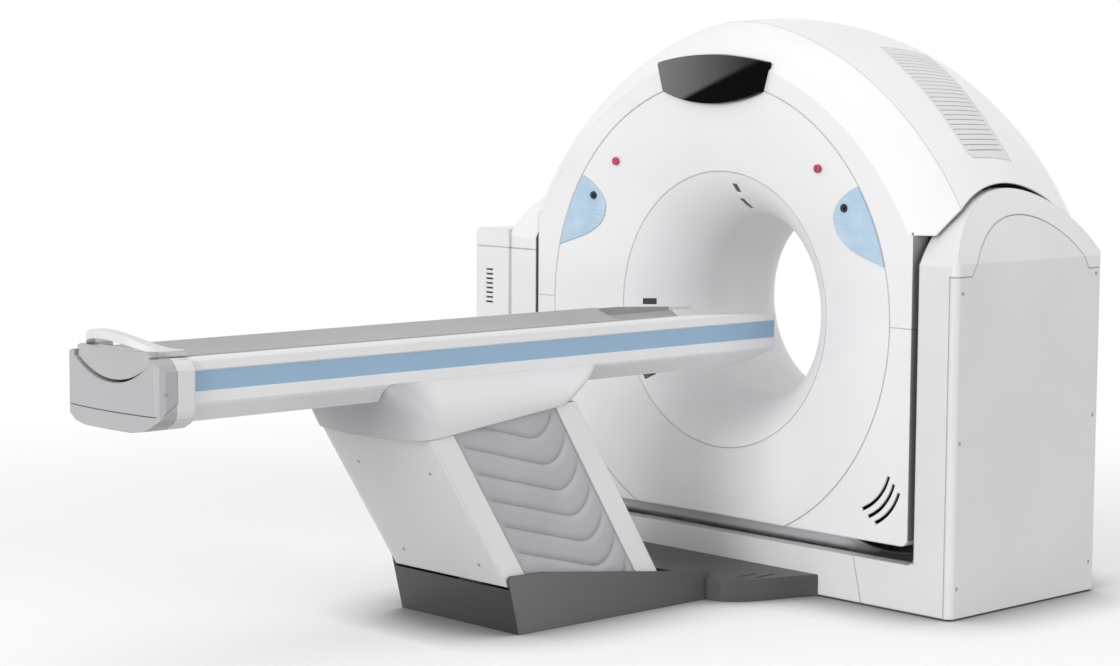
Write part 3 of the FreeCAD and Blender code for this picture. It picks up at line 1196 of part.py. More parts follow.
def cradle_handle():
    """End plate of the cradle under a bow-shaped hoop, with the finger opening between them."""
    plate_top, hoop_low, hoop_top = GRIP_Z
    half, corner, seat = HANDLE_HALF_WIDTH, HANDLE_CORNER_Z, CRADLE_EDGE_Z
    a, b = Vector(half, HANDLE_PLATE_Y, corner), Vector(-half, HANDLE_PLATE_Y, corner)
    c, d = Vector(half - 8, HANDLE_PLATE_Y, plate_top), Vector(-half + 8, HANDLE_PLATE_Y, plate_top)
    plate = face_of([lens_arc(half, corner, HANDLE_LOW_Z, HANDLE_PLATE_Y), line(b, d), line(d, c),
                     line(c, a)])
    plate = plate.extrude(Vector(0, CRADLE_FOOT_Y - HANDLE_PLATE_Y, 0))

    w = HOOP_HALF_WIDTH
    inner = w - HOOP_BAR
    y0, y1 = HOOP_FRONT_Y - 10, CAP_BACK_Y
    p, q = Vector(w, y0, seat), Vector(-w, y0, seat)
    r, t = Vector(inner, y0, seat), Vector(-inner, y0, seat)
    front = face_of([lens_arc(w, seat, hoop_top, y0), line(q, t),
                     arc(t, Vector(0, y0, hoop_low), r), line(r, p)]).extrude(Vector(0, y1 - y0, 0))
    reach = y1 - HOOP_FRONT_Y
    plan = half_ellipse(w, reach, y1, seat).cut(half_ellipse(inner, reach - HOOP_BAR, y1, seat))
    hoop = front.common(plan)
    feet = [block(x0, x1, HANDLE_PLATE_Y, CRADLE_FOOT_Y + 60, seat, seat + 9)
            for x0, x1 in ((half - 22, half + 4), (-half - 4, 22 - half))]
    return fuse([plate, hoop] + feet)


def half_ellipse(half, reach, y, z):
    """Upright prism over half an ellipse that bulges toward the foot end."""
    if half >= reach:
        curve = Part.Ellipse(Vector(half, y, z), Vector(0, y - reach, z), Vector(0, y, z))
    else:
        curve = Part.Ellipse(Vector(0, y - reach, z), Vector(half, y, z), Vector(0, y, z))
    disc = Part.Face(Part.Wire([curve.toShape()])).extrude(Vector(0, 0, 120))
    return disc.common(block(-half - 1, half + 1, y - reach - 1, y, z - 1, z + 130))


def foot_cap():
    """Moulded cap on the beam's foot end, with a bevelled U-shaped cut-out for the handle."""
    x, y0, y1 = CAP_HALF_WIDTH, CAP_FRONT_Y, CAP_BACK_Y
    bottom, low, top = CAP_BOTTOM, CAP_SEAM_LOW_Z, BEAM_TOP
    right = [(120, bottom), (178, bottom + 8), (x - 24, low - 26), (x - 5, low - 8), (x, low + 12),
             (x, top - 34), (x - 8, top - 18), (x - 22, top - 6), (x - 34, top)]
    body = prism_y(right + [(-a, b) for a, b in reversed(right)], y0, y1)
    bow = 1500.0
    body = body.common(Part.makeCylinder(bow, 400, Vector(0, y0 + bow, 700), UP))
    for sx in (1, -1):
        y_corner = y0 + bow - math.sqrt(bow ** 2 - x ** 2)
        edge = prism_z([(sx * (x + a), y_corner + b) for a, b in
                        ((1, -30), (1, 26), (-7, 8), (-20, -3), (-38, -30))], 700, 1000)
        body = body.cut(edge)
    body = body.cut(prism_y(beam_section(), BEAM_FOOT_Y, y1 + 1)).cut(channel_space(CRADLE_FOOT_Y - 1))
    gap = 8.0
    recess = cutout_prism(gap, y0 - 5, BEAM_FOOT_Y + 1)
    border = Part.makeLoft([cutout_wire(gap + DISH_RIM, y0 - 1), cutout_wire(gap, y0 + 17)], True, True)
    body = body.cut(recess).cut(border)
    return body.cut(cap_seams())


def cutout_wire(grow, y):
    half, corner = HANDLE_HALF_WIDTH + grow, HANDLE_CORNER_Z
    p, q = Vector(half, y, corner), Vector(-half, y, corner)
    up_p, up_q = Vector(half, y, corner + 120), Vector(-half, y, corner + 120)
    curve = lens_arc(half, corner, HANDLE_LOW_Z - grow, y)
    return Part.Wire([curve, line(q, up_q), line(up_q, up_p), line(up_p, p)])


def cutout_prism(grow, y0, y1):
    return Part.Face(cutout_wire(grow, y0)).extrude(Vector(0, y1 - y0, 0))


def cap_seams():
    """Grooves of the cap: level across the front, then up each side."""
    g, x = 2.5, CAP_HALF_WIDTH
    level = block(-x - 1, x + 1, CAP_FRONT_Y - 1, CAP_FRONT_Y + 60, CAP_SEAM_LOW_Z, CAP_SEAM_LOW_Z + g)
    keep = block(g - x, x - g, CAP_FRONT_Y + g + 20, CAP_FRONT_Y + 100,
                 CAP_SEAM_LOW_Z - 5, CAP_SEAM_LOW_Z + 10)
    grooves = [level.cut(keep)]
    for sx in (1, -1):
        x0, x1 = sorted((sx * (x - g), sx * (x + 1)))
        path = [(CAP_FRONT_Y + 29, CAP_SEAM_LOW_Z), (BEAM_FOOT_Y, 841.0), (BEAM_FOOT_Y, 935.0)]
        for (ya, za), (yb, zb) in zip(path[:-1], path[1:]):
            grooves.append(prism_x([(ya, za), (ya + g, za), (yb + g, zb), (yb, zb)], x0, x1))
    return fuse(grooves)


def ring_section(half, y0, y1, z0, z1, corner, bow=0.0):
    """Rounded rectangle whose level runs from z0 at y0 to z1 at y1; its foot end may bow out."""
    def v(x, y):
        return Vector(x, y, z0 + (z1 - z0) * (y - y0) / (y1 - y0))
    m = corner * (1 - math.sqrt(0.5))
    pts = []
    for n, (cx, cy, sx, sy) in enumerate([(-half, y0, 1, 1), (half, y0, -1, 1),
                                          (half, y1, -1, -1), (-half, y1, 1, -1)]):
        first, last = (cx, cy + sy * corner), (cx + sx * corner, cy)
        if n % 2:
            first, last = last, first
        pts.append((v(*first), v(cx + sx * m, cy + sy * m), v(*last)))
    edges = []
    for n in range(4):
        start, end = pts[n][2], pts[(n + 1) % 4][0]
        edges.append(arc(*pts[n]))
        edges.append(arc(start, v(0, y0 - bow), end) if bow and n == 0 else line(start, end))
    return Part.Wire(edges)


def saddle_shell():
    """Outer skirt, almost upright at first and then drawn in smoothly to the beam's width."""
    (y0, z0), (y1, z1) = SADDLE_RIM
    half = ARM_HALF_WIDTH + 8
    low = ring_section(half, y0, y1, z0, z1, 80, SADDLE_BOW)
    mid = ring_section(half - 2, y0 - 50, y1 + 70, 742, 770, 85, SADDLE_BOW)
    top = ring_section(BEAM_HALF_WIDTH + 2, SADDLE_TOP[0], SADDLE_TOP[1], CHAMFER_TOP, CHAMFER_TOP, 65,
                       SADDLE_BOW)
    outer = Part.makeLoft([low, mid, top], True, False)
    well_low = ring_section(ARM_HALF_WIDTH + 2, y0 + 22, y1 - 8, z0 - 16, z1 - 16, 70)
    well_mid = ring_section(ARM_HALF_WIDTH + 1, y0 - 34, y1 + 55, 738, 758, 70)
    well_top = ring_section(ARM_HALF_WIDTH - 40, y0 - 36, y1 + 50, 768, 768, 70)
    well = fuse([Part.makeLoft([well_low, well_mid], True, True),
                 Part.makeLoft([well_mid, well_top], True, True)])
    notch = block(-ARM_HALF_WIDTH - 2.5, ARM_HALF_WIDTH + 2.5, -1400, -1200, 600, 762)
    return outer.cut(well).cut(notch)


def above_rim():
    """Everything above the skirt's lower edge, less a running gap: the front arm cover ends there."""
    (y0, z0), (y1, z1) = SADDLE_RIM
    slope = (z1 - z0) / (y1 - y0)
    ends = [(y, z0 + slope * (y - y0) - RIM_GAP) for y in (-2400.0, -700.0)]
    return prism_x(ends + [(-700.0, 1200.0), (-2400.0, 1200.0)], -300, 300)


def table_saddle():
    """Carriage housing over the lift: skirt, and hangers for the arms' upper pins."""
    body = saddle_shell().cut(prism_y(beam_section(), -2300, -1100))
    hangers = []
    pivots = [y + TOP_SHIFT_Y for y in (FRONT_PIVOT_Y, REAR_PIVOT_Y)]
    for y, front in zip(pivots, (26, 7)):
        for cx in (130.0, -130.0):
            plate = block(cx - 12, cx + 12, y - 26, y + front, TOP_PIVOT_Z, BEAM_BOTTOM)
            hangers += [plate, rod(27, cx - 12, cx + 12, y, TOP_PIVOT_Z)]
    body = fuse([body] + hangers)
    for y in pivots:
        body = body.cut(rod(PIN_RADIUS + SHAFT_CLEARANCE, -150, 150, y, TOP_PIVOT_Z))
    return body


def saddle_pins():
    """Top pins of both arms; the rear arm's pin is slack, because the linkage is open there."""
    front = rod(PIN_RADIUS, -200, 200, FRONT_PIVOT_Y + TOP_SHIFT_Y, TOP_PIVOT_Z)
    rear = rod(PIN_RADIUS, -200, 200, REAR_PIVOT_Y + TOP_SHIFT_Y, TOP_PIVOT_Z)
    return Part.makeCompound([front, rear])


# ---------------------------------------------------------------- build
def main():
    os.makedirs("parts", exist_ok=True)
    parts = {}
    shell = front_shell()
    parts["arch_front_cover"] = arch_front_cover(shell)
    parts["right_corner_cover"] = corner_cover(shell, 1)
    parts["left_corner_cover"] = corner_cover(shell, -1)
    parts["front_dish_cover"] = front_dish_cover()
    parts["bore_funnel"] = bore_funnel()
    parts["bore_window"] = bore_window()
    parts["bore_liner"] = bore_liner()
    parts["arch_top_cover"] = arch_top_cover()
    parts["rear_cover"] = rear_cover()
    parts["display_lens"] = display_lens()
    parts["laser_windows"] = laser_windows()
    for name, side in (("right", 1), ("left", -1)):
        parts[name + "_vent_grille"] = vent_grille(side)
        parts[name + "_control_pad"] = control_pad(side)
        parts[name + "_stop_button"] = stop_button(side)
        parts[name + "_pad_key"] = pad_key(side)
        parts[name + "_tower_frame"] = tower_frame(side)
        parts[name + "_bellows"] = bellows(side)
    parts["tilt_frame"] = tilt_frame()
    parts["bearing_outer_ring"] = bearing_outer_ring()
    parts["drive_stator"] = drive_stator()
    parts["brush_block"] = brush_block()
    parts["rotor_drum"] = rotor_drum()
    parts["bearing_inner_ring"] = bearing_inner_ring()
    parts["slip_ring"] = slip_ring()
    parts["xray_tube"] = xray_tube()
    parts["collimator"] = collimator()
    parts["detector_arc"] = detector_arc()
    parts["voltage_generator"] = voltage_generator()
    parts["counterweight"] = counterweight()
    parts["base_frame"] = base_frame()
    parts["front_sill_cover"] = front_sill()
    parts["rear_sill_cover"] = rear_sill()
    parts["right_tower_cover"], parts["right_side_panel"] = right_tower()
    parts["left_tower_cap"], parts["left_tower_cover"] = left_tower()
    parts["side_cabinet"], parts["cabinet_lid"] = side_cabinet()
    parts["pivot_bearings"] = pivot_bearings()
    parts["tilt_gearmotor"] = tilt_gearmotor()
    parts["table_base"] = table_base()
    parts["floor_connection_cover"] = floor_connection()
    parts["base_pins"] = base_pins()
    parts["lift_gearmotor"] = lift_gearmotor()
    parts["front_arm"] = lift_arm(FRONT_PIVOT_Y, -1)
    parts["rear_arm"] = lift_arm(REAR_PIVOT_Y, 1)
    parts["front_arm_cover"] = arm_cover(FRONT_PIVOT_Y, -1, FRONT_COVER_Z).cut(above_rim())
    parts["rear_arm_cover"] = arm_cover(REAR_PIVOT_Y, 1, REAR_COVER_Z)
    parts["table_saddle"] = table_saddle()
    parts["saddle_pins"] = saddle_pins()
    parts["table_beam"] = table_beam()
    parts["foot_cap"] = foot_cap()
    parts["cradle"] = cradle()
    parts["cradle_handle"] = cradle_handle()
    for name, shape in parts.items():
        save(name, shape)
        print(name, len(shape.Solids), round(shape.Volume / 1e6, 3), shape.isValid())


main()
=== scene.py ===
import math

import bmesh
import bpy
from mathutils import Matrix, Vector


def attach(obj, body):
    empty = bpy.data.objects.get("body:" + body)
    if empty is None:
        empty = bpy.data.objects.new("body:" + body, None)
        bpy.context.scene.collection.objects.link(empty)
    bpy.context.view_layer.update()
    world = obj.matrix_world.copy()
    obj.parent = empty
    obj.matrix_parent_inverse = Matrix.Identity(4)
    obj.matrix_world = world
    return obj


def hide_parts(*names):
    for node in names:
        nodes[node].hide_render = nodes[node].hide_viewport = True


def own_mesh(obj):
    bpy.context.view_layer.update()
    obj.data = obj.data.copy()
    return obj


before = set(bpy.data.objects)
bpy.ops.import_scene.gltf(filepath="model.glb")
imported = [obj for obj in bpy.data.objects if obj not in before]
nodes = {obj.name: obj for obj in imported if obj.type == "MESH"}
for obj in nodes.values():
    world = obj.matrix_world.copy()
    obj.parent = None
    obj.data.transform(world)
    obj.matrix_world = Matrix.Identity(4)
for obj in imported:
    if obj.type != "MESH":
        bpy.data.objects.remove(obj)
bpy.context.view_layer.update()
scene = bpy.context.scene

HEAD_AXIS_Z = 0.95          # height of the tilt and rotor axes; every length here is in metres


# ---------------------------------------------------------------- shader helpers
def new_material(name):
    m = bpy.data.materials.new(name)
    m.use_nodes = True
    tree = m.node_tree
    return m, tree, tree.nodes["Principled BSDF"]


def link(tree, a, b):
    tree.links.new(a, b)


def object_coords(tree):
    return tree.nodes.new("ShaderNodeTexCoord").outputs["Object"]


def split_xyz(tree, vector):
    n = tree.nodes.new("ShaderNodeSeparateXYZ")
    link(tree, vector, n.inputs["Vector"])
    return n.outputs["X"], n.outputs["Y"], n.outputs["Z"]


def math_node(tree, operation, a, b=None):
    n = tree.nodes.new("ShaderNodeMath")
    n.operation = operation
    for i, v in enumerate((a, b)):
        if isinstance(v, (int, float)):
            n.inputs[i].default_value = v
        elif v is not None:
            link(tree, v, n.inputs[i])
    return n.outputs[0]


def over(tree, value, limit):
    """1 where the value is greater than the limit."""
    return math_node(tree, "GREATER_THAN", value, limit)


def under(tree, value, limit):
    """1 where the value is less than the limit."""
    return math_node(tree, "LESS_THAN", value, limit)


def all_of(tree, first, *others):
    """1 where every mask is 1."""
    for mask in others:
        first = math_node(tree, "MULTIPLY", first, mask)
    return first


def map_range(tree, value, start, end, low=0.0, high=1.0, smooth=False):
    """The value's way from start to end, as a number from low to high."""
    n = tree.nodes.new("ShaderNodeMapRange")
    if smooth:
        n.interpolation_type = "SMOOTHSTEP"
    for name, number in (("From Min", start), ("From Max", end), ("To Min", low), ("To Max", high)):
        n.inputs[name].default_value = number
    link(tree, value, n.inputs["Value"])
    return n.outputs["Result"]


def band_mask(tree, value, low, high, soft=0.0004):
    """1 between two heights, with a thin soft edge."""
    return all_of(tree, map_range(tree, value, low - soft, low + soft),
                  map_range(tree, value, high - soft, high + soft, 1.0, 0.0))


def noise(tree, coords, scale, detail=3.0):
    n = tree.nodes.new("ShaderNodeTexNoise")
    n.inputs["Scale"].default_value = scale
    n.inputs["Detail"].default_value = detail
    link(tree, coords, n.inputs["Vector"])
    return n.outputs["Fac"]


def ramp(tree, value, low, high, p0=0.3, p1=0.7):
    n = tree.nodes.new("ShaderNodeValToRGB")
    for element, position, colour in zip(n.color_ramp.elements, (p0, p1), (low, high)):
        element.position = position
        element.color = (*colour, 1)
    link(tree, value, n.inputs["Fac"])
    return n.outputs["Color"]


def mix(tree, fac, a, b, blend="MIX"):
    """Mixes two colours, each given as a tuple or a socket."""
    n = tree.nodes.new("ShaderNodeMix")
    n.data_type = "RGBA"
    n.blend_type = blend
    if isinstance(fac, float):
        n.inputs["Factor"].default_value = fac
    else:
        link(tree, fac, n.inputs["Factor"])
    for socket, v in zip([i for i in n.inputs if i.type == "RGBA"], (a, b)):
        if isinstance(v, tuple):
            socket.default_value = (*v, 1)
        else:
            link(tree, v, socket)
    return [o for o in n.outputs if o.type == "RGBA"][0]


def bump(tree, height, strength, distance, normal=None):
    n = tree.nodes.new("ShaderNodeBump")
    n.inputs["Strength"].default_value = strength
    n.inputs["Distance"].default_value = distance
    link(tree, height, n.inputs["Height"])
    if normal is not None:
        link(tree, normal, n.inputs["Normal"])
    return n.outputs["Normal"]


def edge_round(tree, radius):
    n = tree.nodes.new("ShaderNodeBevel")
    n.samples = 4
    n.inputs["Radius"].default_value = radius
    return n.outputs["Normal"]


def slow_tone(tree, coords):
    """Very slow clouds, for tone changes over a whole cover."""
    return noise(tree, coords, 2.3, 2.0)


def cloudy(tree, coords, base, spread):
    """The base colour, a little darker and lighter from place to place."""
    return ramp(tree, slow_tone(tree, coords), tuple(c * (1 - spread) for c in base),
                tuple(c * (1 + spread) for c in base))


def grain(tree, bsdf, coords, rough, radius=None, scale=380.0, depth=0.0002):
    """Fine grain in the roughness, from low to high, and in the surface, with edges softened by the radius."""
    fine = noise(tree, coords, scale, 2.0)
    link(tree, map_range(tree, fine, 0.0, 1.0, *rough), bsdf.inputs["Roughness"])
    normal = edge_round(tree, radius) if radius else None
    link(tree, bump(tree, fine, 0.25, depth, normal), bsdf.inputs["Normal"])
    return fine


# ---------------------------------------------------------------- general finishes
# painted shade in the gap between the head and its towers: the faces that line it are painted grey in place of the
# gap's shadow
GAP_SIDE = (0.9036, 0.9276)       # |x| of the faces that line the gap between the head and its towers
GAP_HEIGHT = (0.170, 1.2588)
GAP_SHADE_TONE = (0.26, 0.26, 0.265)


def gap_shade_mask(tree, coords):
    """1 on the faces that line the running gap between the head and its towers, where painted shade goes."""
    x, _, z = split_xyz(tree, coords)
    side = math_node(tree, "ABSOLUTE", x)
    return all_of(tree, over(tree, side, GAP_SIDE[0]), under(tree, side, GAP_SIDE[1]),
                  over(tree, z, GAP_HEIGHT[0]), under(tree, z, GAP_HEIGHT[1]))


def coat(name, base, rough=0.4, grain_scale=380.0, grain_depth=0.0002, radius=0.003, metal=0.0,
         coat_weight=0.0, painted_gap_shade=False):
    """Moulded or painted surface: slow tone changes, fine grain and softened edges."""
    m, tree, bsdf = new_material(name)
    coords = object_coords(tree)
    colour = cloudy(tree, coords, base, 0.03)
    # painted shade: the faces that line the gap take a grey tone that stands in for the gap's shadow
    if painted_gap_shade:
        colour = mix(tree, gap_shade_mask(tree, coords), colour, GAP_SHADE_TONE)
    link(tree, colour, bsdf.inputs["Base Color"])
    grain(tree, bsdf, coords, (rough - 0.05, rough + 0.05), radius, grain_scale, grain_depth)
    bsdf.inputs["Metallic"].default_value = metal
    bsdf.inputs["Coat Weight"].default_value = coat_weight
    return m


def split_coat(name, axis, limit, below, above, rough=0.4, both_sides=True, radius=0.006):
    """Paint in two tones that meet at one place along an axis, mirrored to both sides or not."""
    m, tree, bsdf = new_material(name)
    coords = object_coords(tree)
    value = split_xyz(tree, coords)["XYZ".index(axis)]
    if both_sides:
        value = math_node(tree, "ABSOLUTE", value)
    colour = mix(tree, over(tree, value, limit), cloudy(tree, coords, below, 0.025),
                 cloudy(tree, coords, above, 0.025))
    link(tree, colour, bsdf.inputs["Base Color"])
    grain(tree, bsdf, coords, (rough - 0.05, rough + 0.05), radius)
    return m


def brushed(name, base, rough=0.3):
    """Machined metal with fine streaks along x."""
    m, tree, bsdf = new_material(name)
    stretch = tree.nodes.new("ShaderNodeMapping")
    stretch.inputs["Scale"].default_value = (4.0, 300.0, 300.0)
    link(tree, object_coords(tree), stretch.inputs["Vector"])
    streak = noise(tree, stretch.outputs["Vector"], 2.0, 3.0)
    link(tree, ramp(tree, streak, tuple(c * 0.9 for c in base), base), bsdf.inputs["Base Color"])
    link(tree, map_range(tree, streak, 0.0, 1.0, rough - 0.08, rough + 0.12), bsdf.inputs["Roughness"])
    link(tree, bump(tree, streak, 0.15, 0.0002, edge_round(tree, 0.001)), bsdf.inputs["Normal"])
    bsdf.inputs["Metallic"].default_value = 1.0
    return m


def gloss(name, base, rough):
    """Glossy plastic or glass with faint smears."""
    m, tree, bsdf = new_material(name)
    smear = noise(tree, object_coords(tree), 9.0, 3.0)
    link(tree, ramp(tree, smear, base, tuple(c * 1.25 + 0.003 for c in base)), bsdf.inputs["Base Color"])
    link(tree, map_range(tree, smear, 0.0, 1.0, rough, rough + 0.06), bsdf.inputs["Roughness"])
    link(tree, edge_round(tree, 0.002), bsdf.inputs["Normal"])
    return m


# ---------------------------------------------------------------- finishes of single pieces
def beam_material():
    """Beam: white rails, a blue stripe along each side, a pale grey underside painted lighter than the rails as
    painted light, and an open channel darkened with painted shade.
    """
    lit_underside_z, stripe_z, side_x = 0.8325, (0.8665, 0.9245), 0.2075
    channel_x, channel_z, channel_end_y = 0.1935, 0.85, -0.43
    m, tree, bsdf = new_material("beam_bands")
    coords = object_coords(tree)
    x, y, z = split_xyz(tree, coords)
    from_middle = math_node(tree, "ABSOLUTE", x)
    slow = slow_tone(tree, coords)
    white = ramp(tree, slow, (0.75, 0.75, 0.76), (0.79, 0.79, 0.80))
    blue = ramp(tree, slow, (0.27, 0.42, 0.58), (0.30, 0.45, 0.61))
    grey = ramp(tree, slow, (0.78, 0.78, 0.80), (0.82, 0.82, 0.84))
    channel_shade = ramp(tree, slow, (0.36, 0.355, 0.365), (0.39, 0.385, 0.395))
    stripe = all_of(tree, band_mask(tree, z, *stripe_z), over(tree, from_middle, side_x))
    channel = all_of(tree, under(tree, from_middle, channel_x), over(tree, z, channel_z),
                     under(tree, y, channel_end_y))
    colour = mix(tree, stripe, white, blue)
    # painted light: the underside is painted paler than the white rails, to lift it out of its shade
    colour = mix(tree, under(tree, z, lit_underside_z), colour, grey)
    # painted shade: the inside of the open channel is painted dark grey where shadow falls in it
    colour = mix(tree, channel, colour, channel_shade)
    link(tree, colour, bsdf.inputs["Base Color"])
    fine = noise(tree, coords, 380.0, 2.0)
    bsdf.inputs["Roughness"].default_value = 0.36
    link(tree, bump(tree, fine, 0.2, 0.0002, edge_round(tree, 0.003)), bsdf.inputs["Normal"])
    return m


def curtain_material():
    """Coated fabric: fine weave, with painted shade that darkens the creases."""
    crease_x = (0.2625, 0.2650)       # from the bottom of a valley to where its shade ends
    m, tree, bsdf = new_material("curtain_fabric")
    coords = object_coords(tree)
    cloth = ramp(tree, noise(tree, coords, 6.0, 3.0), (0.42, 0.415, 0.44), (0.46, 0.455, 0.48))
    depth = math_node(tree, "ABSOLUTE", split_xyz(tree, coords)[0])
    # painted shade: the fabric darkens towards the bottom of each fold valley
    crease_shade = map_range(tree, depth, *crease_x, 1.0, 0.0)
    link(tree, mix(tree, crease_shade, cloth, (0.31, 0.31, 0.33)), bsdf.inputs["Base Color"])
    weave = tree.nodes.new("ShaderNodeTexWave")
    weave.inputs["Scale"].default_value = 260.0
    link(tree, coords, weave.inputs["Vector"])
    link(tree, bump(tree, weave.outputs["Fac"], 0.12, 0.0003), bsdf.inputs["Normal"])
    bsdf.inputs["Roughness"].default_value = 0.62
    bsdf.inputs["Sheen Weight"].default_value = 0.15
    return m


def pad_material():
    """Pale blue membrane with fine rows of touch fields under soft clouds."""
    m, tree, bsdf = new_material("pad_membrane")
    coords = object_coords(tree)
    fields = tree.nodes.new("ShaderNodeTexVoronoi")
    fields.inputs["Scale"].default_value = 62.0
    fields.inputs["Randomness"].default_value = 0.0
    link(tree, coords, fields.inputs["Vector"])
    away = fields.outputs["Distance"]
    dots = ramp(tree, away, (0.62, 0.74, 0.84), (0.44, 0.59, 0.74), 0.20, 0.36)
    cloud = noise(tree, coords, 12.0, 3.0)
    tone = ramp(tree, cloud, (0.40, 0.56, 0.72), (0.58, 0.72, 0.84), 0.35, 0.65)
    link(tree, mix(tree, math_node(tree, "MULTIPLY", cloud, 0.9), dots, tone), bsdf.inputs["Base Color"])
    bsdf.inputs["Roughness"].default_value = 0.36
    link(tree, bump(tree, away, 0.3, 0.0006, edge_round(tree, 0.004)), bsdf.inputs["Normal"])
    return m


def base_material():
    """Dark textured paint, with painted shade that deepens along each face and painted light that makes the long
    sides lighter than the front.
    """
    front_shade_x, side_shade_y, painted_light_turn = (-0.32, 0.30), (-2.05, -0.85), (0.3, 0.8)
    m, tree, bsdf = new_material("base_dark")
    coord = tree.nodes.new("ShaderNodeTexCoord")
    coords = coord.outputs["Object"]
    x, y, _ = split_xyz(tree, coords)
    normal_x = math_node(tree, "ABSOLUTE", split_xyz(tree, coord.outputs["Normal"])[0])
    # painted light and shade: the front and the long sides get a shaded and a lit copy of the dark paint, each
    # darkening across the face
    front = ramp(tree, map_range(tree, x, *front_shade_x), (0.080, 0.078, 0.080), (0.040, 0.040, 0.042), 0.0, 1.0)
    side = ramp(tree, map_range(tree, y, *side_shade_y), (0.165, 0.160, 0.168), (0.085, 0.084, 0.086), 0.0, 1.0)
    colour = mix(tree, map_range(tree, normal_x, *painted_light_turn), front, side)
    fine = grain(tree, bsdf, coords, (0.40, 0.52), 0.004, 260.0, 0.0004)
    speck = ramp(tree, fine, (0.94, 0.94, 0.94), (1.0, 1.0, 1.0))
    link(tree, mix(tree, 1.0, colour, speck, "MULTIPLY"), bsdf.inputs["Base Color"])
    return m


def saddle_material():
    """Smooth grey-white, with painted shade that darkens the nose where it turns away under the beam."""
    nose_shade_y = (-2.06, -1.89)
    m, tree, bsdf = new_material("saddle_white")
    coords = object_coords(tree)
    # painted shade: the nose darkens where it turns away under the beam
    along = map_range(tree, split_xyz(tree, coords)[1], *nose_shade_y, smooth=True)
    slow = slow_tone(tree, coords)
    nose = ramp(tree, slow, (0.38, 0.37, 0.40), (0.40, 0.39, 0.42))
    body = ramp(tree, slow, (0.69, 0.69, 0.70), (0.73, 0.73, 0.74))
    link(tree, mix(tree, along, nose, body), bsdf.inputs["Base Color"])
    grain(tree, bsdf, coords, (0.36, 0.44), 0.006)
    return m


def skirt_material():
    """Matt moulding with painted light: greyer at its front edge and painted paler where it turns under the head
    into shade.
    """
    lit_turn_z = (0.215, 0.165)
    m, tree, bsdf = new_material("skirt_grey")
    coords = object_coords(tree)
    # painted light: paler towards the part that turns under the head into shade
    painted_light_turn = map_range(tree, split_xyz(tree, coords)[2], *lit_turn_z)
    link(tree, ramp(tree, painted_light_turn, (0.62, 0.61, 0.635), (0.93, 0.92, 0.945), 0.0, 1.0), bsdf.inputs["Base Color"])
    grain(tree, bsdf, coords, (0.50, 0.60))
    return m


def display_material():
    """Dark glass over a screen that is switched off, with a painted reflection of a room: paler above a slanted
    edge.
    """
    edge_x, edge_rise, edge_z = 0.113, 0.379, (1.694, 1.712)
    fade_x = (-0.27, 0.24)
    m, tree, bsdf = new_material("display_glass")
    coords = object_coords(tree)
    x, _, z = split_xyz(tree, coords)
    # painted reflection: grey above the slanted edge, fading towards black along x, made uneven by the smears
    slant = math_node(tree, "MULTIPLY", math_node(tree, "ADD", x, edge_x), edge_rise)
    reflection_mask = map_range(tree, math_node(tree, "SUBTRACT", z, slant), *edge_z)
    smear = noise(tree, coords, 14.0, 3.0)
    reflection_shift = math_node(tree, "MULTIPLY", math_node(tree, "SUBTRACT", smear, 0.5), 0.10)
    reflection_fade = math_node(tree, "ADD", map_range(tree, x, *fade_x), reflection_shift)
    grey = ramp(tree, reflection_fade, (0.20, 0.20, 0.20), (0.030, 0.030, 0.031), 0.0, 0.9)
    link(tree, mix(tree, reflection_mask, (0.003, 0.003, 0.0035), grey), bsdf.inputs["Base Color"])
    bsdf.inputs["Specular IOR Level"].default_value = 0.02
    link(tree, map_range(tree, smear, 0.0, 1.0, 0.06, 0.14), bsdf.inputs["Roughness"])
    link(tree, edge_round(tree, 0.003), bsdf.inputs["Normal"])
    return m


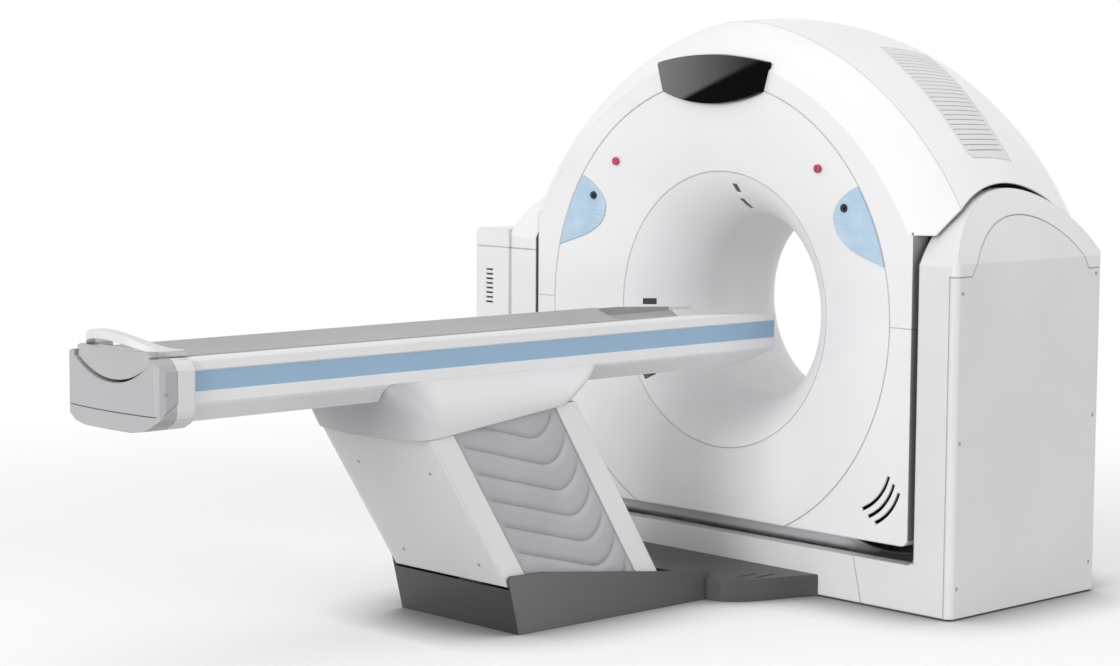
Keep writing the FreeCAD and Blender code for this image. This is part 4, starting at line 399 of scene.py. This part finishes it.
M = {
    "white": coat("shell_white", (0.835, 0.83, 0.84), 0.36, radius=0.008, coat_weight=0.2, painted_gap_shade=True),
    # painted shade: the tower and sill covers take a darker copy of the white shell
    "tower": coat("tower_white_painted_shade", (0.74, 0.735, 0.745), 0.38, radius=0.008, coat_weight=0.15, painted_gap_shade=True),
    "panel": coat("panel_grey", (0.71, 0.70, 0.715), 0.45, radius=0.004),
    "cover_dark": coat("connection_cover_dark", (0.066, 0.066, 0.067), 0.45, 260.0, 0.0004),
    "steel": coat("frame_paint", (0.34, 0.36, 0.38), 0.5),
    # painted light: the base frame is painted pale so that it reads grey in the shade seen through the gap under
    # the head
    "painted_light_frame": coat("base_frame_painted_light", (0.86, 0.855, 0.87), 0.45),
    "housing": coat("housing_grey", (0.48, 0.50, 0.53), 0.4),
    "grille": coat("grille_grey", (0.72, 0.72, 0.73), 0.5, 150.0, 0.0006),
    "gauze": coat("filter_gauze", (0.76, 0.76, 0.77), 0.7, 900.0, 0.0006),
    "cradle": coat("cradle_grey", (0.375, 0.37, 0.38), 0.42, 600.0),
    "screw": coat("screw_grey", (0.30, 0.30, 0.31), 0.4, radius=0.0006, metal=0.6),
    # painted light: the bore is painted a little paler than the shell, to offset the shade inside it
    "funnel": coat("bore_white_painted_light", (0.86, 0.86, 0.87), 0.42, radius=0.001),
    "machined": brushed("machined_steel", (0.62, 0.62, 0.64)),
    "aluminium": brushed("rotor_aluminium", (0.72, 0.73, 0.74), 0.35),
    "copper": brushed("copper_wound", (0.62, 0.36, 0.22), 0.35),
    "smoked": gloss("smoked_window", (0.055, 0.055, 0.058), 0.2),
    "key": gloss("key_black", (0.015, 0.015, 0.02), 0.2),
    "red": gloss("stop_red", (0.40, 0.035, 0.075), 0.22),
    "arm_cover": split_coat("arm_cover_paint", "X", 0.262, (0.68, 0.68, 0.69), (0.745, 0.74, 0.75)),
    "cap": split_coat("cap_paint", "Y", -2.852, (0.40, 0.395, 0.41), (0.68, 0.68, 0.69), both_sides=False,
                      radius=0.004),
    "handle": split_coat("handle_paint", "Z", 0.985, (0.42, 0.42, 0.43), (0.66, 0.66, 0.67), rough=0.32,
                         both_sides=False, radius=0.004),
    "saddle": saddle_material(),
    "dark": base_material(),
    "skirt": skirt_material(),
    "display": display_material(),
    "beam": beam_material(),
    "curtain": curtain_material(),
    "pad": pad_material(),
}

LOOK = {                    # every node that isn't named here is white
    "panel": ["right_side_panel"],
    "tower": ["right_tower_cover", "front_sill_cover"],
    "saddle": ["table_saddle"],
    "arm_cover": ["front_arm_cover", "rear_arm_cover"],
    "funnel": ["bore_funnel", "bore_window", "bore_liner"],
    "dark": ["table_base"],
    "cover_dark": ["floor_connection_cover"],
    "painted_light_frame": ["base_frame"],
    "steel": ["right_tower_frame", "left_tower_frame", "tilt_frame", "front_arm", "rear_arm"],
    "machined": ["pivot_bearings", "base_pins", "saddle_pins", "bearing_outer_ring", "bearing_inner_ring",
                 "counterweight"],
    "aluminium": ["rotor_drum", "detector_arc"],
    "housing": ["xray_tube", "collimator", "voltage_generator", "tilt_gearmotor", "lift_gearmotor"],
    "copper": ["slip_ring", "drive_stator", "brush_block"],
    "display": ["display_lens"],
    "smoked": ["laser_windows"],
    "grille": ["right_vent_grille", "left_vent_grille"],
    "key": ["right_pad_key", "left_pad_key"],
    "red": ["right_stop_button", "left_stop_button"],
    "cap": ["foot_cap"],
    "cradle": ["cradle"],
    "handle": ["cradle_handle"],
    "beam": ["table_beam"],
    "curtain": ["right_bellows", "left_bellows"],
    "pad": ["right_control_pad", "left_control_pad"],
}
look_of = {name: key for key, names in LOOK.items() for name in names}
for name, obj in nodes.items():
    obj.data.materials.clear()
    obj.data.materials.append(M[look_of.get(name, "white")])


# ---------------------------------------------------------------- side curtains
LEAN = math.radians(32.3)                       # the lift arms' lean at rest
FRONT_PIVOT = (-1.605, 0.19)                    # y and z of the front arm's lower pivot
FRONT_EDGE, BACK_EDGE = 0.0423, 0.4344          # the curtain's edges, measured across the arms
FOLD_START, FOLD_PITCH, FOLD_DEPTH = 0.006, 0.106, 0.010
FIRST_FOLD, LAST_FOLD = -8, 17                  # half folds, more than the frame shows: the rest is cut off
VALLEY_X = 0.262
FABRIC = 0.0022                                 # the fabric's thickness
COLUMNS, FOLD_STEPS, EDGE_COLUMNS = 44, 12, 3.5
CURTAIN_LOW = ((0, 0, 0.118), (0, 0, -1))       # planes that cut it, as a point and the side to remove
CURTAIN_TOP = ((0, -1.985, 0.664), (0, -0.1156, 0.9933))        # just above the saddle's rim


def arm_point(along, across):
    """y and z of a point by its place along the front arm and across the arms."""
    s, c = math.sin(LEAN), math.cos(LEAN)
    return FRONT_PIVOT[0] - along * s + across * c, FRONT_PIVOT[1] + along * c + across * s


def fold_shift(across):
    """The folds sag towards the rear arm, and hook up again beside it."""
    sag = -1.06 * (min(across, 0.3) - 0.1)
    if across > 0.3:
        sag += -0.75 * (across - 0.3) + 7.4 * (across - 0.3) ** 2
    return sag


def pleat(k):
    """0 in a valley and 1 on a ridge: a narrow valley between broad, nearly flat folds."""
    away = 1.0 - abs((k % 2.0) - 1.0)
    return 1.0 - (1.0 - away) ** 4


def fabric_face(bm, side, back):
    """One face of the curtain as columns of vertices, set back by the given depth and flat at its hems."""
    grid = []
    for i in range(COLUMNS + 1):
        across = FRONT_EDGE + (BACK_EDGE - FRONT_EDGE) * i / COLUMNS
        edge = max(0.0, 1.0 - min(i, COLUMNS - i) / EDGE_COLUMNS)
        hem = edge * edge * (3.0 - 2.0 * edge)
        column = []
        for j in range((LAST_FOLD - FIRST_FOLD) * FOLD_STEPS + 1):
            k = FIRST_FOLD + j / FOLD_STEPS
            y, z = arm_point(FOLD_START + FOLD_PITCH * k / 2.0 + fold_shift(across), across)
            x = side * (VALLEY_X + FOLD_DEPTH * max(pleat(k), hem) - back)
            column.append(bm.verts.new((x, y, z)))
        grid.append(column)
    return grid


def curtain(side):
    """Pleated sheet between the two arm covers, cut to the height of its frame."""
    bm = bmesh.new()
    outer, inner = (fabric_face(bm, side, back) for back in (0.0, FABRIC))
    n, m = len(outer), len(outer[0])
    for i in range(n - 1):
        for j in range(m - 1):
            bm.faces.new((outer[i][j], outer[i + 1][j], outer[i + 1][j + 1], outer[i][j + 1]))
            bm.faces.new((inner[i][j], inner[i][j + 1], inner[i + 1][j + 1], inner[i + 1][j]))
    for j in range(m - 1):
        bm.faces.new((outer[0][j], outer[0][j + 1], inner[0][j + 1], inner[0][j]))
        bm.faces.new((outer[-1][j], inner[-1][j], inner[-1][j + 1], outer[-1][j + 1]))
    for i in range(n - 1):
        bm.faces.new((outer[i][0], inner[i][0], inner[i + 1][0], outer[i + 1][0]))
        bm.faces.new((outer[i][-1], outer[i + 1][-1], inner[i + 1][-1], inner[i][-1]))
    for point, normal in (CURTAIN_LOW, CURTAIN_TOP):
        geom = bm.verts[:] + bm.edges[:] + bm.faces[:]
        cut = bmesh.ops.bisect_plane(bm, geom=geom, dist=1e-6, plane_co=point, plane_no=normal, clear_outer=True)
        rim = [e for e in cut["geom_cut"] if isinstance(e, bmesh.types.BMEdge)]
        bmesh.ops.holes_fill(bm, edges=rim, sides=0)
    bmesh.ops.recalc_face_normals(bm, faces=bm.faces[:])
    cloth = sum(f.calc_area() for f in bm.faces) / 2.0
    name = "right_curtain" if side > 0 else "left_curtain"
    mesh = bpy.data.meshes.new(name)
    bm.to_mesh(mesh)
    bm.free()
    mesh.polygons.foreach_set("use_smooth", [True] * len(mesh.polygons))
    mesh.materials.append(M["curtain"])
    obj = bpy.data.objects.new(name, mesh)
    scene.collection.objects.link(obj)
    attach(obj, "front_link")
    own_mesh(obj)
    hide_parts("right_bellows" if side > 0 else "left_bellows")


curtain(1)
curtain(-1)


# ---------------------------------------------------------------- screws, skirt and grille filters
def mesh_piece(name, verts, faces, material, body, smooth=False):
    mesh = bpy.data.meshes.new(name)
    mesh.from_pydata([tuple(v) for v in verts], [], faces)
    mesh.materials.append(material)
    if smooth:
        mesh.polygons.foreach_set("use_smooth", [True] * len(mesh.polygons))
    obj = bpy.data.objects.new(name, mesh)
    scene.collection.objects.link(obj)
    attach(obj, body)
    return obj


SCREW_SIDES = 24
SCREW_RINGS = [             # radius and height by the head's radius, and whether the ring is the hexagon socket's
    (1.0, -0.25, False), (1.0, 0.02, False), (0.86, 0.16, False), (0.55, 0.20, False), (0.42, 0.20, True),
    (0.38, -0.12, True)]


def screws(name, places, radius, body):
    """Low domed screw heads with a hexagon socket, each on a surface point along its normal."""
    verts, faces = [], []
    for point, normal in places:
        point, normal = Vector(point), Vector(normal).normalized()
        turn = normal.to_track_quat("Z", "Y")
        first = len(verts)
        for r, h, hexagon in SCREW_RINGS:
            for i in range(SCREW_SIDES):
                a = 2 * math.pi * i / SCREW_SIDES
                reach = r * radius
                if hexagon:
                    reach /= math.cos((a % (math.pi / 3)) - math.pi / 6)
                verts.append(point + turn @ Vector((reach * math.cos(a), reach * math.sin(a), h * radius)))
        for k in range(len(SCREW_RINGS) - 1):
            for i in range(SCREW_SIDES):
                j = (i + 1) % SCREW_SIDES
                a, b = first + k * SCREW_SIDES, first + (k + 1) * SCREW_SIDES
                faces.append((a + i, a + j, b + j, b + i))
        faces.append(tuple(first + (len(SCREW_RINGS) - 1) * SCREW_SIDES + i for i in range(SCREW_SIDES)))
        faces.append(tuple(first + i for i in reversed(range(SCREW_SIDES))))
    mesh_piece(name, verts, faces, M["screw"], body)


arm_normal = (0, -math.cos(LEAN), -math.sin(LEAN))
screws("arm_cover_screws", [((x, y, z), arm_normal) for x, y, z in (
    (-0.1775, -1.8670, 0.5330), (0.1775, -1.8670, 0.5330), (-0.1865, -1.6705, 0.2225), (0.1865, -1.6705, 0.2225))],
    0.0065, "front_link")
screws("side_panel_screws", [((1.081, y, z), (1, 0, 0)) for y, heights in (
    (0.365, (1.111, 0.62, 0.105)), (-0.372, (1.078, 0.587, 0.105))) for z in heights], 0.0065, "stand")
screws("foot_cap_screws", [((side * 0.237, -2.8899, 0.8686), (side, 0, 0)) for side in (1, -1)], 0.006, "carriage")


SKIRT_PROFILE = [           # angle from straight down, in degrees, and radius about the tilt axis
    (-28.9, 0.8285), (-28.2, 0.8330), (-27.0, 0.8375), (-25.4, 0.8415), (-23.4, 0.8440), (-21.0, 0.8450),
    (-18.0, 0.8450), (-15.4, 0.8445), (-14.6, 0.8400), (-14.4, 0.8320)]
SKIRT_BACK, SKIRT_THIN = 0.8255, 0.002          # radius of its hidden face, and its thickness at both ends
SKIRT_HALF_WIDTH, SKIRT_TAPER, SKIRT_STEPS = 0.625, 0.075, 60


def belly_skirt():
    """Moulded skirt under the head's front edge, round the tilt axis so that it clears the sills at any tilt."""
    def swing(x, degrees, radius):
        angle = math.radians(degrees)
        return x, math.sin(angle) * radius, HEAD_AXIS_Z - math.cos(angle) * radius

    thin = SKIRT_BACK + SKIRT_THIN
    verts = []
    for i in range(SKIRT_STEPS + 1):
        x = SKIRT_HALF_WIDTH * math.sin(math.pi * (i / SKIRT_STEPS - 0.5))
        edge = min(1.0, (SKIRT_HALF_WIDTH - abs(x)) / SKIRT_TAPER)
        full = math.sqrt(max(0.0, 1.0 - (1.0 - edge) ** 2))
        verts += [swing(x, degrees, thin + (radius - thin) * full) for degrees, radius in SKIRT_PROFILE]
        verts += [swing(x, degrees, SKIRT_BACK) for degrees in (SKIRT_PROFILE[-1][0], SKIRT_PROFILE[0][0])]
    n = len(SKIRT_PROFILE) + 2
    faces = []
    for i in range(SKIRT_STEPS):
        for k in range(n):
            k2 = (k + 1) % n
            faces.append((i * n + k, i * n + k2, (i + 1) * n + k2, (i + 1) * n + k))
    faces.append(tuple(reversed(range(n))))
    faces.append(tuple(SKIRT_STEPS * n + k for k in range(n)))
    obj = mesh_piece("belly_skirt", verts, faces, M["skirt"], "gantry_head")
    for polygon in obj.data.polygons:
        polygon.use_smooth = polygon.index % n < len(SKIRT_PROFILE) - 1 and polygon.index < SKIRT_STEPS * n


FILTER_ANGLES, FILTER_ROWS, FILTER_COLUMNS = (34.0, 63.5), 23, 9
FILTER_PROBES, PROBE_Y, PROBE_FROM = 120, (-0.11, 0.27), 1.4    # rays that find the grille, from outside it
SHELL_RADIUS = 0.8          # a hit nearer to the axis than this isn't the grille's outer face
FILTER_MARGIN = 3           # probes left out at each edge of the grille
FILTER_DEPTH, GAUZE = 0.0046, 0.0008


def vent_filter(side, name, node):
    """Fine filter gauze under the slots of a vent grille, found from the grille's own surface."""
    grille = nodes[node]
    axis = Vector((0, 0, HEAD_AXIS_Z))
    rows = []
    for i in range(FILTER_ROWS):
        angle = math.radians(FILTER_ANGLES[0] + (FILTER_ANGLES[1] - FILTER_ANGLES[0]) * (i + 0.5) / FILTER_ROWS)
        out = Vector((side * math.cos(angle), 0, math.sin(angle)))
        hits = []
        for k in range(FILTER_PROBES):
            y = PROBE_Y[0] + (PROBE_Y[1] - PROBE_Y[0]) * k / (FILTER_PROBES - 1)
            centre = axis + Vector((0, y, 0))
            found, where, _, _ = grille.ray_cast(centre + out * PROBE_FROM, -out)
            if found and (where - centre).length > SHELL_RADIUS:
                hits.append((y, (where - centre).length))
        if len(hits) < 4 * FILTER_MARGIN:
            continue
        hits = hits[FILTER_MARGIN:-FILTER_MARGIN]
        row = []
        for c in range(FILTER_COLUMNS):
            y, r = hits[round(c * (len(hits) - 1) / (FILTER_COLUMNS - 1))]
            row.append(axis + out * (r - FILTER_DEPTH) + Vector((0, y, 0)))
        rows.append(row)
    upper = [v for row in rows for v in row]
    lower = [v - (v - axis).normalized() * GAUZE for v in upper]
    n, far = len(upper), FILTER_COLUMNS - 1
    faces = []
    for i in range(len(rows) - 1):
        a, b = i * FILTER_COLUMNS, (i + 1) * FILTER_COLUMNS
        for c in range(far):
            faces += [(a + c, a + c + 1, b + c + 1, b + c),
                      (n + a + c, n + b + c, n + b + c + 1, n + a + c + 1)]
        faces += [(a, b, n + b, n + a), (b + far, a + far, n + a + far, n + b + far)]
    end = (len(rows) - 1) * FILTER_COLUMNS
    for c in range(far):
        faces += [(c + 1, c, n + c, n + c + 1), (end + c, end + c + 1, n + end + c + 1, n + end + c)]
    if side < 0:
        faces = [face[::-1] for face in faces]
    mesh_piece(name, upper + lower, faces, M["gauze"], "gantry_head", smooth=True)


belly_skirt()
vent_filter(1, "right_vent_filter", "right_vent_grille")
vent_filter(-1, "left_vent_filter", "left_vent_grille")


# ---------------------------------------------------------------- floor and lights
def seen_mask(tree):
    """1 for rays that reach the eye directly, over a mirror or through glass, and 0 for rays that carry light."""
    path = tree.nodes.new("ShaderNodeLightPath")
    seen = math_node(tree, "MAXIMUM", path.outputs["Is Camera Ray"], path.outputs["Is Glossy Ray"])
    return math_node(tree, "MAXIMUM", seen, path.outputs["Is Transmission Ray"])


def stage_floor():
    """Pale floor that keeps the shadow near the object, deepened there by painted contact shadow, and turns white
    farther out.
    """
    fade_from, fade_to = 2.2, 5.5       # distances from the middle of the table's side of the machine
    bpy.ops.mesh.primitive_plane_add(size=400, location=(0, 0, -0.0005))
    floor = bpy.context.object
    floor.name = "studio_floor"
    m, tree, bsdf = new_material("studio_floor")
    seen = seen_mask(tree)
    coords = object_coords(tree)
    plain = ramp(tree, noise(tree, coords, 0.4, 2.0), (0.49, 0.49, 0.49), (0.51, 0.51, 0.51))
    # painted contact shadow: the ambient occlusion darkens the floor's colour near the object, for rays that reach
    # the eye
    contact_shadow = tree.nodes.new("ShaderNodeAmbientOcclusion")
    contact_shadow.samples = 8
    contact_shadow.inputs["Distance"].default_value = 0.32
    shade = ramp(tree, contact_shadow.outputs["AO"], (0.30, 0.30, 0.31), (0.98, 0.98, 0.98), 0.45, 1.0)
    link(tree, mix(tree, seen, plain, shade), bsdf.inputs["Base Color"])
    bsdf.inputs["Roughness"].default_value = 0.9
    bsdf.inputs["Specular IOR Level"].default_value = 0.0
    away = tree.nodes.new("ShaderNodeVectorMath")
    away.operation = "DISTANCE"
    link(tree, coords, away.inputs[0])
    away.inputs[1].default_value = (0.0, -1.2, 0.0)
    fade = map_range(tree, away.outputs["Value"], fade_from, fade_to, smooth=True)
    glow = tree.nodes.new("ShaderNodeEmission")
    glow.inputs["Color"].default_value = (1, 1, 1, 1)
    glow.inputs["Strength"].default_value = 1.0
    blend = tree.nodes.new("ShaderNodeMixShader")
    link(tree, all_of(tree, fade, seen), blend.inputs["Fac"])
    link(tree, bsdf.outputs["BSDF"], blend.inputs[1])
    link(tree, glow.outputs["Emission"], blend.inputs[2])
    link(tree, blend.outputs["Shader"], tree.nodes["Material Output"].inputs["Surface"])
    floor.data.materials.append(m)


def world_light(strength):
    """White surroundings that light the object with the given strength."""
    world = bpy.data.worlds.new("studio")
    scene.world = world
    world.use_nodes = True
    tree = world.node_tree
    back = tree.nodes["Background"]
    back.inputs["Color"].default_value = (1, 1, 1, 1)
    link(tree, map_range(tree, seen_mask(tree), 0.0, 1.0, strength, 1.0), back.inputs["Strength"])


def softbox(name, location, target, size, power):
    data = bpy.data.lights.new(name, "AREA")
    data.energy = power
    data.shape = "RECTANGLE"
    data.size, data.size_y = size
    obj = bpy.data.objects.new(name, data)
    scene.collection.objects.link(obj)
    obj.location = location
    obj.rotation_mode = "QUATERNION"
    obj.rotation_quaternion = (Vector(target) - Vector(location)).to_track_quat("-Z", "Y")


stage_floor()
world_light(0.74)
softbox("key_light", (2.4, -16.0, 5.6), (0, -0.8, 1.0), (6.0, 6.0), 930)
softbox("fill_light", (15.0, 0.5, 4.6), (0, -0.6, 1.0), (7.0, 7.0), 380)
softbox("top_light", (0.5, 0.5, 12.5), (0, -0.6, 1.0), (9.0, 9.0), 140)
softbox("low_light", (3.0, -12.0, 0.5), (0, -0.6, 0.4), (7.0, 0.8), 150)


# ---------------------------------------------------------------- camera
VIEW_ANGLES = (46.78, 5.61, 0.36)       # azimuth, elevation and roll in degrees, fitted to the photo
VIEW_FROM = (6.142, -6.9192, 1.7446)
FOCAL_LENGTH = 81.27                    # millimetres on a 36 mm sensor


def camera():
    azimuth, elevation, roll = (math.radians(v) for v in VIEW_ANGLES)
    forward = Vector((-math.sin(azimuth) * math.cos(elevation), math.cos(azimuth) * math.cos(elevation),
                      -math.sin(elevation)))
    level = Vector((math.cos(azimuth), math.sin(azimuth), 0))
    upright = level.cross(forward)
    right = level * math.cos(roll) + upright * math.sin(roll)
    up = upright * math.cos(roll) - level * math.sin(roll)
    data = bpy.data.cameras.new("photo_camera")
    data.lens = FOCAL_LENGTH
    data.sensor_width = 36.0
    data.sensor_fit = "HORIZONTAL"
    data.clip_end = 200.0
    cam = bpy.data.objects.new("photo_camera", data)
    scene.collection.objects.link(cam)
    cam.matrix_world = Matrix([(r, u, -f, at) for r, u, f, at in zip(right, up, forward, VIEW_FROM)]
                              + [(0, 0, 0, 1)])
    scene.camera = cam


camera()
scene.view_settings.view_transform = "Standard"
